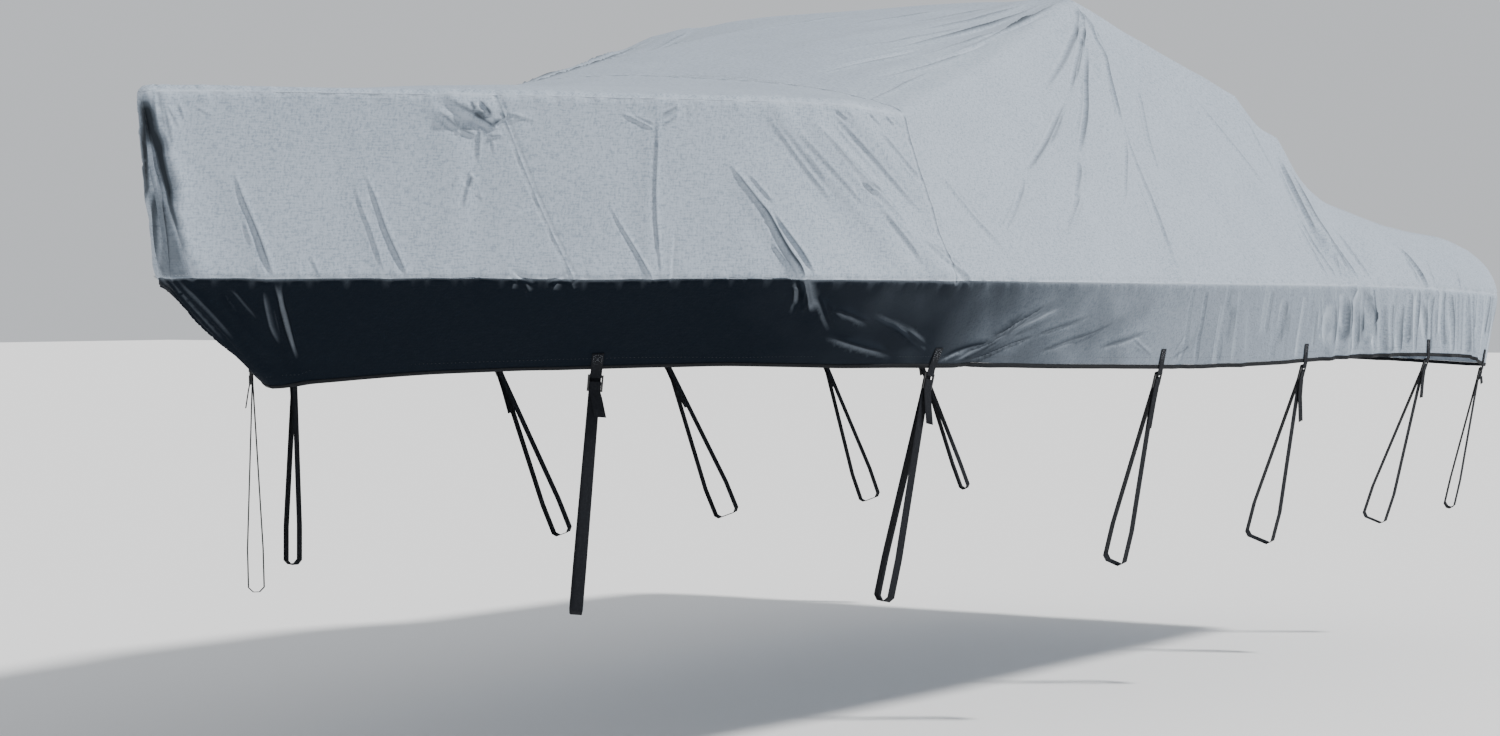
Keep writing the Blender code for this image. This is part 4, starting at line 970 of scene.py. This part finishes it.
def cloth_material(name, painted_bow_shade):
    """Woven polyester: a fine plain weave, slubs, faint mottling and dust, with painted shade in creases and painted
    highlight on ridges. The skirt has deep painted shade forward.
    """
    specular, sheen = (0.06, 0.0) if painted_bow_shade else (0.16, 0.06)
    shade = Shade(name, CLOTH_LIGHT, roughness=0.82, specular=specular, sheen=sheen)
    coords = shade.node("TexCoord")
    uv, place = coords["UV"], coords["Object"]
    colour = shade.mix(shade.patches(place, *MOTTLE), CLOTH_DEEP, CLOTH_LIGHT)
    warp, weft = (shade.node("Mapping", {"Vector": uv, "Scale": scale})[0] for scale in SLUB_STRETCHES)
    slubs = shade.math("ADD", shade.noise(warp, *SLUB), shade.noise(weft, *SLUB))
    slubs = shade.math("DIVIDE", shade.math("ADD", slubs, shade.noise(place, *SPECKLE)), 3.0)
    slubs = shade.span(slubs, *SLUB_SPAN)
    colour = shade.mix(shade.math("MULTIPLY", slubs, DUST_SHARE), colour, CLOTH_DUST)
    shaded = shade.span(slubs, 0.0, THREAD_SHADE_SHARE, THREAD_SHADE_SHARE, 0.0)
    colour = shade.mix(shaded, colour, THREAD_SHADE)
    # The crease attribute gives painted highlight on ridges, rolled seams and puckers, and painted shade in creases,
    # seam grooves and the nose facet
    crease = shade.node("Attribute", attribute_name="crease")["Fac"]
    relief = {1: crease, -1: shade.math("MULTIPLY", crease, -1.0)}
    for sign, starts, full, share, tone in PAINTED_RELIEF_TONES:
        colour = shade.mix(shade.span(relief[sign], starts, full, 0.0, share), colour, tone)
    # Painted shade over the skirt, deepest forward, lightened by painted highlight on its ridges
    if painted_bow_shade:
        skirt_painted_light = shade.math("ADD", painted_skirt_shade(shade, place), shade.span(relief[-1], *SKIRT_RIDGE_PAINTED_HIGHLIGHT))
        colour = shade.mix(skirt_painted_light, SKIRT_PAINTED_SHADE_TONE, colour)

    # Plain weave of two sets of threads with a nap, over small soft creases that are too fine for the mesh
    flat = shade.node("SeparateXYZ", {0: uv})
    warp, weft = (shade.waves(flat[axis], WEAVE_PER_METRE * math.pi) for axis in "XY")
    weave = shade.math("MULTIPLY", shade.math("MULTIPLY", warp, weft), WEAVE_SHARE)
    height = shade.math("ADD", weave, shade.math("MULTIPLY", shade.noise(uv, *NAP), NAP_SHARE))
    normal = shade.bump(height, strength=0.35, distance=0.0011)
    normal = shade.bump(shade.noise(place, *CRUMPLE), strength=0.30, distance=0.006, Normal=normal)
    rough = shade.span(slubs, 0.0, 1.0, *CLOTH_ROUGHNESS)
    return shade.surface({"Base Color": colour, "Normal": normal, "Roughness": rough})


def webbing_material(name, colour, worn):
    """Ribbed webbing with fine threads across the ribs, and patches of greyed fuzz."""
    shade = Shade(name, colour, roughness=0.7, specular=0.14)
    coords = shade.node("TexCoord")
    flat = shade.node("SeparateXYZ", {0: coords["UV"]})
    threads = shade.math("MULTIPLY", shade.waves(flat["Y"], math.tau * THREADS_PER_METRE), WEBBING_THREAD_SHARE)
    height = shade.math("ADD", shade.waves(flat["X"], math.tau * RIBS_PER_METRE), threads)
    colour = shade.mix(shade.patches(coords["Object"], *FUZZ, 0.0, FUZZ_SHARE), colour, worn)
    return shade.surface({"Base Color": colour, "Normal": shade.bump(height, strength=0.5, distance=0.0004)})


def plastic_material():
    """Moulded buckle plastic with a fine grain and scuffed patches."""
    shade = Shade("buckle_plastic_moulded", (0.012, 0.012, 0.013), roughness=0.42, specular=0.5)
    place = shade.node("TexCoord")["Object"]
    scuff = shade.patches(place, *SCUFF)
    rough = shade.span(scuff, 0.0, 1.0, *PLASTIC_ROUGHNESS)
    normal = shade.bump(shade.noise(place, *GRAIN), strength=0.2, distance=0.0003)
    return shade.surface({"Base Color": shade.mix(scuff, *PLASTIC_TONES), "Roughness": rough, "Normal": normal})


def thread_material(name, deep, pale):
    shade = Shade(name, deep, roughness=0.7, specular=0.3)
    tone = shade.patches(shade.node("TexCoord")["Object"], *THREAD_TONE)
    return shade.surface({"Base Color": shade.mix(tone, deep, pale)})


# ---------------------------------------------------------------- pieces
# Each panel's flat length and width, and its flat area in square metres, as none is cut as a rectangle
PANELS = {"foredeck_panel": (1.50, 2.20, 2.10), "main_panel": (4.30, 3.55, 13.0)}
PANELS |= {f"bow_side_panel_{word}_front": (0.92, 0.44, 0.40) for word in SIDES}
PANELS |= {f"bow_side_panel_{word}_aft": (1.10, 0.44, 0.46) for word in SIDES}
PANELS |= {f"skirt_{word}": (7.30, 0.24, 1.72) for word in SIDES}

# Cross-sections of the folded hem tape and of webbing: share of the width and of the height or thickness
BINDING_PROFILE = (
    (-0.5, 0.04), (-0.5, 0.9), (-0.25, 1.0), (0.25, 1.0), (0.5, 0.9), (0.5, 0.04), (0.3, 0.0), (-0.3, 0.0),
)
WEBBING_PROFILE = (
    (-0.5, -0.2), (-0.47, -0.5), (-0.2, -0.42), (0.2, -0.42), (0.47, -0.5), (0.5, -0.2),
    (0.5, 0.2), (0.47, 0.5), (0.2, 0.42), (-0.2, 0.42), (-0.47, 0.5), (-0.5, 0.2),
)
BINDING_FROM_MIDDLE = 0.0003
RIBBON_SHARPEST = 0.5
ARC_POINTS = 5
TAB_HOLD = 0.02
TAB_HOLD_OUT = 0.0004
BUCKLE_ROUNDING = 0.0009
STRAP_STEP = 0.02
STRAP_STEP_LEAST = 0.25
STRAP_PARTING = 0.002
STRAP_END = -0.003
# The free tail's share of its length, how far it stands off, and its share of the sideways swing, at two places
TAIL_PLACES = ((1.0, 0.010, 1.0), (0.55, 0.003, 0.3))
# The sewn box on a tab: how far in from the webbing's edge, and its top and foot below the tab's top
BOX_INSET = 0.004
BOX_TOP = 0.005
BOX_FOOT = 0.036


def add_mesh(name, points, faces, material, flat=None):
    """A mesh object in the row's frame. flat is where each corner of its faces lies on the flat cloth."""
    mesh = bpy.data.meshes.new(name)
    mesh.from_pydata(np.asarray(points).tolist(), [], faces)
    mesh.update()
    mesh.shade_smooth()
    mesh.materials.append(material)
    if flat is not None:
        mesh.uv_layers.new(name="flat").data.foreach_set("uv", flat.astype(np.float32).ravel())
    thing = bpy.data.objects.new(name, mesh)
    bpy.context.collection.objects.link(thing)
    return thing


def declare(piece, node=None):
    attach(piece, "root")
    if node:
        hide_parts(node)


def flat_places(corners):
    """Where each corner lies on the flat cloth: run along the cover, and drop from the centre line."""
    s, v, side = corners.reshape(-1, 3).T
    point = surface(s, v, side)
    last = surface(np.minimum(s, LAST_ROW), v, side)
    run = point[:, 0] + np.maximum(0, np.abs(last[:, 1]) - np.abs(point[:, 1])) * (s > LAST_ROW)
    row = sections_at(s)
    middle_s, middle_v, _ = np.repeat(corners.mean(axis=1), 3, axis=0).T
    own_cut = (middle_v > 1) & ((middle_s < ROW_DECK_SEAM) | (middle_v > 2))
    base = np.where(own_cut, 1.0, row["edge_w"])
    drop = np.where(middle_v <= 1, np.abs(point[:, 1]), base + row["edge_z"] - point[:, 2])
    return np.stack([run, drop * side], axis=1).reshape(-1, 3, 2)


def build_cloth(sheet, points, painted_shading, light, skirt_cloth_painted_shade):
    """Cuts the fine sheet into its panels."""
    names = panel_names(sheet)
    flat = flat_places(sheet.corners)
    for panel, (length, width, area) in PANELS.items():
        rows = names == panel
        used, faces = np.unique(sheet.triangles[rows], return_inverse=True)
        material = skirt_cloth_painted_shade if panel.startswith("skirt") else light
        faces = faces.reshape(-1, 3).tolist()
        piece = add_mesh(f"cloth_{panel}", points[used] - ORIGIN, faces, material, flat[rows])
        # The crease attribute carries the painted shading: painted shade in creases, seam grooves and the nose facet,
        # painted highlight on ridges, rolled seams and puckers
        layer = piece.data.attributes.new("crease", "FLOAT", "POINT")
        layer.data.foreach_set("value", painted_shading[used].astype(np.float32))
        declare(piece, panel)


def swept_piece(name, rings, flat, material, node):
    """A closed tube through equal rings of points. flat is where each point lies on the flat cloth."""
    size, count = len(rings[0]), len(rings)
    faces = [
        (n * size + k, n * size + (k + 1) % size, (n + 1) * size + (k + 1) % size, (n + 1) * size + k)
        for n in range(count - 1)
        for k in range(size)
    ]
    faces += [tuple(reversed(range(size))), tuple(range((count - 1) * size, count * size))]
    piece = add_mesh(name, np.concatenate(rings), faces, material, np.array(flat)[np.concatenate(faces)])
    declare(piece, node)
    return piece


def build_binding(word, side, points, normals, places, material):
    """The bound edge under the hem: a folded tape that follows every gather."""
    s, v, own = places.T
    hem = np.flatnonzero((v == 3) & ((own == side) | (s == 0) | (s == STERN_MIDDLE)))
    hem = hem[np.argsort(s[hem])]
    along = points[hem]
    rings, flat, run = [], [], 0.0
    for n, centre in enumerate(along.copy()):
        before, after = along[max(n - 1, 0)], along[min(n + 1, len(hem) - 1)]
        run += np.linalg.norm(centre - before)
        out = normals[hem[n]].copy()
        down = np.cross(after - before, out)
        if n in (0, len(hem) - 1):
            centre[1] = side * BINDING_FROM_MIDDLE
            out[1] = down[1] = 0.0
        down, out = toward(unit(down), DOWN), unit(out)
        rings.append([
            centre - ORIGIN + down * (BINDING_GAP + BINDING_HEIGHT * low) + out * BINDING_THICKNESS * wide
            for wide, low in BINDING_PROFILE
        ])
        flat += [(BINDING_HEIGHT * low, run) for _, low in BINDING_PROFILE]
    swept_piece(f"cloth_hem_binding_{word}", rings, flat, material, f"hem_binding_{word}")


def ribbon(path, widths):
    """Webbing along a path: its rings of points, where they lie on the flat webbing, and its length."""
    rings, flat, run = [], [], 0.0
    for n, (point, width) in enumerate(zip(path, widths)):
        before = point - path[n - 1] if n > 0 else path[1] - point
        after = path[n + 1] - point if n < len(path) - 1 else point - path[n - 1]
        first, second = unit(np.cross(width, before)), unit(np.cross(width, after))
        mean = unit(first + second)
        step = mean * WEBBING / max(RIBBON_SHARPEST, float(mean @ first))
        run += float(np.linalg.norm(before)) if n > 0 else 0.0
        rings.append([point + width * WEBBING_WIDTH * across + step * up for across, up in WEBBING_PROFILE])
        flat += [(WEBBING_WIDTH * across, run) for across, _ in WEBBING_PROFILE]
    return rings, flat, run


def even_path(points, step):
    """The path with places added at even steps. Its own points stay."""
    run = run_along(points)
    marks = np.unique(np.concatenate([run, np.arange(0, run[-1], step)]))
    kept = [marks[0]]
    for mark in marks[1:]:
        if mark - kept[-1] > step * STRAP_STEP_LEAST or mark in run:
            kept.append(mark)
    return at_marks(points, run, kept)


def arc(down, out, reach, first, last):
    """Path around the edge of a bar at (down, out), from one angle to another in degrees."""
    angles = np.radians(np.linspace(first, last, ARC_POINTS))
    return [(down + reach * math.cos(angle), out + reach * math.sin(angle)) for angle in angles]


def hem_place(strap, offset, v, side):
    """The place at height v that lies a length aft of a strap's station."""
    k = min(int(strap.station), LAST_ROW - 1)
    here, there = SECTIONS[k], SECTIONS[k + 1]
    length = math.dist((here.hem_x, here.hem_w), (there.hem_x, there.hem_w))
    return place_of(strap.station + offset / length, v, side)


def build_strap(word, side, number, strap, webbing, plastic, thread):
    """One tab with its buckle and its strap, on the same paths as the solids."""
    aft, forward = (hem_place(strap, offset, 3, side) for offset in (TAB_FLAT, -TAB_FLAT))
    hem = (aft + forward) / 2
    waist = (hem_place(strap, TAB_FLAT, 2, side) + hem_place(strap, -TAB_FLAT, 2, side)) / 2
    along = unit(aft - forward)
    outward = toward(unit(np.cross(along, waist - hem)), np.array((0.0, side, 0.0)))
    down_skirt = toward(np.cross(along, outward), DOWN)
    off_cloth = CLOTH / 2 + CLEARANCE + WEBBING / 2
    off_binding = BINDING_THICKNESS / 2 + 2 * CLEARANCE + WEBBING / 2
    tab_top = hem - down_skirt * TAB_ABOVE_HEM + outward * off_cloth
    tab_low = hem - down_skirt * TAB_HOLD + outward * (off_cloth + TAB_HOLD_OUT)
    bend = hem + down_skirt * (BINDING_HEIGHT + TAB_BELOW_BINDING) + outward * off_binding
    foot = np.array((strap.foot_x, strap.foot_w * side, FOOT_Z))
    down = unit(foot - bend)
    across = unit(along - down * (along @ down))
    out = toward(np.cross(down, across), outward)
    reach = CLEARANCE + WEBBING / 2
    bar = BAR_THICKNESS / 2
    front = bar + reach
    start = bend + down * TAB_TO_BUCKLE - out * front
    length = float((foot - start) @ down)

    def place(d, n, w=0.0):
        return start + down * d + out * n + across * w - ORIGIN

    high, low = BUCKLE_DOWN[:2]
    around = arc(low, bar, reach, 90, 0) + arc(low, -bar, reach, 0, -90) + arc(high, -bar, reach, 270, 180)
    around.append((high - reach, bar - WEBBING))
    tab_path = [tab_top - ORIGIN, tab_low - ORIGIN, bend - ORIGIN] + [place(*p) for p in around]
    rings, flat, _ = ribbon(tab_path, [along] * 3 + [across] * len(around))
    name = f"{word}_{number}"
    swept_piece(f"webbing_tab_{name}", rings, flat, webbing, f"strap_tab_{name}")
    stitch_box(name, tab_top, along, down_skirt, outward, thread)

    high, low = BUCKLE_DOWN[2], BUCKLE_DOWN[-1]
    half = strap.loop / 2
    behind = front + WEBBING + CLEARANCE
    parting = low + STRAP_PARTING
    spread = (half + front) / (length - LOOP_HEIGHT - parting)
    path = []
    for share, free, swing in TAIL_PLACES:
        down_by = strap.tail * share
        stands_off = max(front + free, spread * (down_by - parting) - front + TAIL_CLEAR)
        path.append((down_by, stands_off, strap.swing * swing))
    path += [(low, front), *arc(high, bar, reach, 90, 180), *arc(high, -bar, reach, 180, 270)]
    path += [
        (parting, -front),
        (length - LOOP_HEIGHT, half),
        (length - LOOP_CORNER, half),
        (length, half - LOOP_CORNER),
        (length, LOOP_CORNER - half),
        (length - LOOP_CORNER, -half),
        (length - LOOP_HEIGHT, -half),
        (parting, -behind),
        (STRAP_END, -behind),
    ]
    fine = even_path(np.array([place(*p) for p in path]), STRAP_STEP)
    rings, flat, run = ribbon(fine, [across] * len(fine))
    piece = swept_piece(f"webbing_strap_{name}", rings, flat, webbing, f"strap_{name}")

    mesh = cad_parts[f"buckle_{name}"].data.copy()
    mesh.materials.clear()
    mesh.materials.append(plastic)
    buckle = bpy.data.objects.new(f"moulded_buckle_{name}", mesh)
    bpy.context.collection.objects.link(buckle)
    bevel = buckle.modifiers.new("edges", "BEVEL")
    bevel.width = BUCKLE_ROUNDING
    bevel.segments = 3
    bevel.limit_method = "ANGLE"
    declare(buckle, f"buckle_{name}")


def stitches(path, out, thread):
    """Points and faces of short threads along a path, each a small lens that dips into the cloth at both ends."""
    points, faces = [], []
    run = run_along(path)
    outs = np.broadcast_to(out, path.shape)
    for mark in np.arange(thread.pitch / 2, run[-1] - thread.length, thread.pitch):
        start, middle, end = at_marks(path, run, mark + np.array((0, thread.length / 2, thread.length)))
        if np.linalg.norm(end - start) < WELD:
            continue
        lift = unit(at_marks(outs, run, [mark])[0])
        across = unit(np.cross(end - start, lift)) * thread.thick / 2
        up = lift * thread.thick / 2
        base = len(points)
        points += [start - up, middle + across, middle + up, middle - across, middle - up, end - up]
        for k in range(4):
            a, b = base + 1 + k, base + 1 + (k + 1) % 4
            faces += [(base, b, a), (base + 5, a, b)]
    return points, faces


def stitch_box(name, tab_top, along, down, outward, thread):
    """The sewn box that holds a tab to the hem: four sides and two diagonals."""
    corner = tab_top + outward * (WEBBING / 2 + TAB_HOLD_OUT) - ORIGIN
    half = WEBBING_WIDTH / 2 - BOX_INSET
    around = ((-half, BOX_TOP), (half, BOX_TOP), (half, BOX_FOOT), (-half, BOX_FOOT))
    corners = [corner + along * a + down * d for a, d in around]
    points, faces = [], []
    for a, b in ((0, 1), (1, 2), (2, 3), (3, 0), (0, 2), (1, 3)):
        more_points, more_faces = stitches(np.array([corners[a], corners[b]]), outward, BOX_THREAD)
        faces += [tuple(len(points) + k for k in face) for face in more_faces]
        points += more_points
    declare(add_mesh(f"stitch_box_{name}", points, faces, thread))


def stitch_rows():
    """Places of the rows of stitches: (name, s, v, side)."""
    found = []
    for word, side in SIDES.items():
        to_deck = np.linspace(ROWS_START, ROW_DECK_SEAM - DECK_STOP_SHORT, DECK_ROW_POINTS)
        around = np.linspace(ROWS_START, STERN_MIDDLE - ROWS_STOP_SHORT, AROUND_POINTS)
        found.append((f"edge_{word}", to_deck, 1 + STITCH_OFFSET / EDGE_TO_WAIST, side))
        found.append((f"side_{word}", around, 2 - STITCH_OFFSET / EDGE_TO_WAIST, side))
        found.append((f"hem_{word}", around, 3 - HEM_WIDTH / SKIRT_DROP, side))
        for row, name, start in UPRIGHT_ROWS:
            across = np.linspace(start, 2 - ROWS_STOP_SHORT, UPRIGHT_POINTS)
            ahead, behind = LENGTHS[max(0, math.ceil(row) - 1)], LENGTHS[int(row)]
            found.append((f"{name}_{word}_fore", row - STITCH_OFFSET / ahead, across, side))
            found.append((f"{name}_{word}_aft", row + STITCH_OFFSET / behind, across, side))
    return found


def seam_stitches(creases, thread, hem_thread):
    """Rows of stitches beside the seams, laid on the folded cloth."""
    for name, s, v, side in stitch_rows():
        path, normals = cloth_at(creases, s, v, side)
        path = path + normals * SEAM_THREAD.thick * STITCH_LIFT - ORIGIN
        material = hem_thread if "hem" in name else thread
        piece = add_mesh(f"stitches_{name}", *stitches(path, normals, SEAM_THREAD), material)
        declare(piece)


def build_cover():
    creases = all_folds()
    sheet = build_fine_sheet(creases)
    places = sheet.places()
    points, painted_shading = deform(creases, sheet.points, point_normals(sheet.points, sheet.triangles), places)
    normals = point_normals(points, sheet.triangles)
    light = cloth_material("cover_cloth_woven", painted_bow_shade=False)
    # The skirt's cloth, with painted shade that is deepest forward
    skirt_cloth_painted_shade = cloth_material("cover_cloth_skirt_painted_shade", painted_bow_shade=True)
    tape = webbing_material("binding_tape_woven", *TAPE_TONES)
    webbing = webbing_material("strap_webbing_woven", *WEBBING_TONES)
    plastic = plastic_material()
    thread = thread_material("seam_thread", *SEAM_THREAD_TONES)
    hem_thread = thread_material("hem_thread", *HEM_THREAD_TONES)
    build_cloth(sheet, points, painted_shading, light, skirt_cloth_painted_shade)
    seam_stitches(creases, thread, hem_thread)
    for word, side in SIDES.items():
        build_binding(word, side, points, normals, places, tape)
        for number, strap in enumerate(STRAPS, start=1):
            build_strap(word, side, number, strap, webbing, plastic, thread)


# ---------------------------------------------------------------- stage, light and camera
VIEW_TURN = math.radians(32.65)
VIEW_DOWN = math.atan(68 / 3000)
CAMERA_X = -4.885
CAMERA_W = 4.732
CAMERA_Z = -0.047
LENS = 72.0
SENSOR = 36.0
VIEW_REACH = 200.0
FLOOR_Z = -1.27
FLOOR_HALF = 60.0
FLOOR_TONE = (0.86, 0.86, 0.86)
KEY_FROM = (1.9, -8.8, 9.2)
KEY_POWER = 4.7
KEY_TONE = (1.0, 0.985, 0.96)
KEY_SOFTNESS = math.radians(5.0)
WORLD = 0.70
WORLD_TONE = (0.93, 0.96, 1.0, 1.0)


def place_facing(name, data, location, way):
    """An object for a light or camera that looks the given way."""
    thing = bpy.data.objects.new(name, data)
    thing.location = location
    thing.rotation_euler = Vector(way).to_track_quat("-Z", "Y").to_euler()
    bpy.context.collection.objects.link(thing)
    return thing


def build_stage():
    corners = ((-1, -1), (1, -1), (1, 1), (-1, 1))
    points = [(x * FLOOR_HALF, y * FLOOR_HALF, FLOOR_Z - ORIGIN[2]) for x, y in corners]
    floor = Shade("studio_floor", FLOOR_TONE, roughness=0.9, specular=0.1).material
    add_mesh("studio_ground", points, [(0, 1, 2, 3)], floor)
    world = bpy.data.worlds.new("studio")
    world.use_nodes = True
    background = world.node_tree.nodes["Background"]
    background.inputs["Color"].default_value = WORLD_TONE
    background.inputs["Strength"].default_value = WORLD
    bpy.context.scene.world = world
    key = bpy.data.lights.new("key", "SUN")
    key.energy = KEY_POWER
    key.color = KEY_TONE
    key.angle = KEY_SOFTNESS
    place_facing("key", key, KEY_FROM, [-k for k in KEY_FROM])


def build_camera():
    data = bpy.data.cameras.new("view")
    data.lens = LENS
    data.sensor_width = SENSOR
    data.clip_end = VIEW_REACH
    location = (CAMERA_X - ORIGIN[0], -CAMERA_W, CAMERA_Z - ORIGIN[2])
    way = (math.cos(VIEW_TURN), math.sin(VIEW_TURN), -math.tan(VIEW_DOWN))
    bpy.context.scene.camera = place_facing("view", data, location, way)


build_cover()
build_stage()
build_camera()
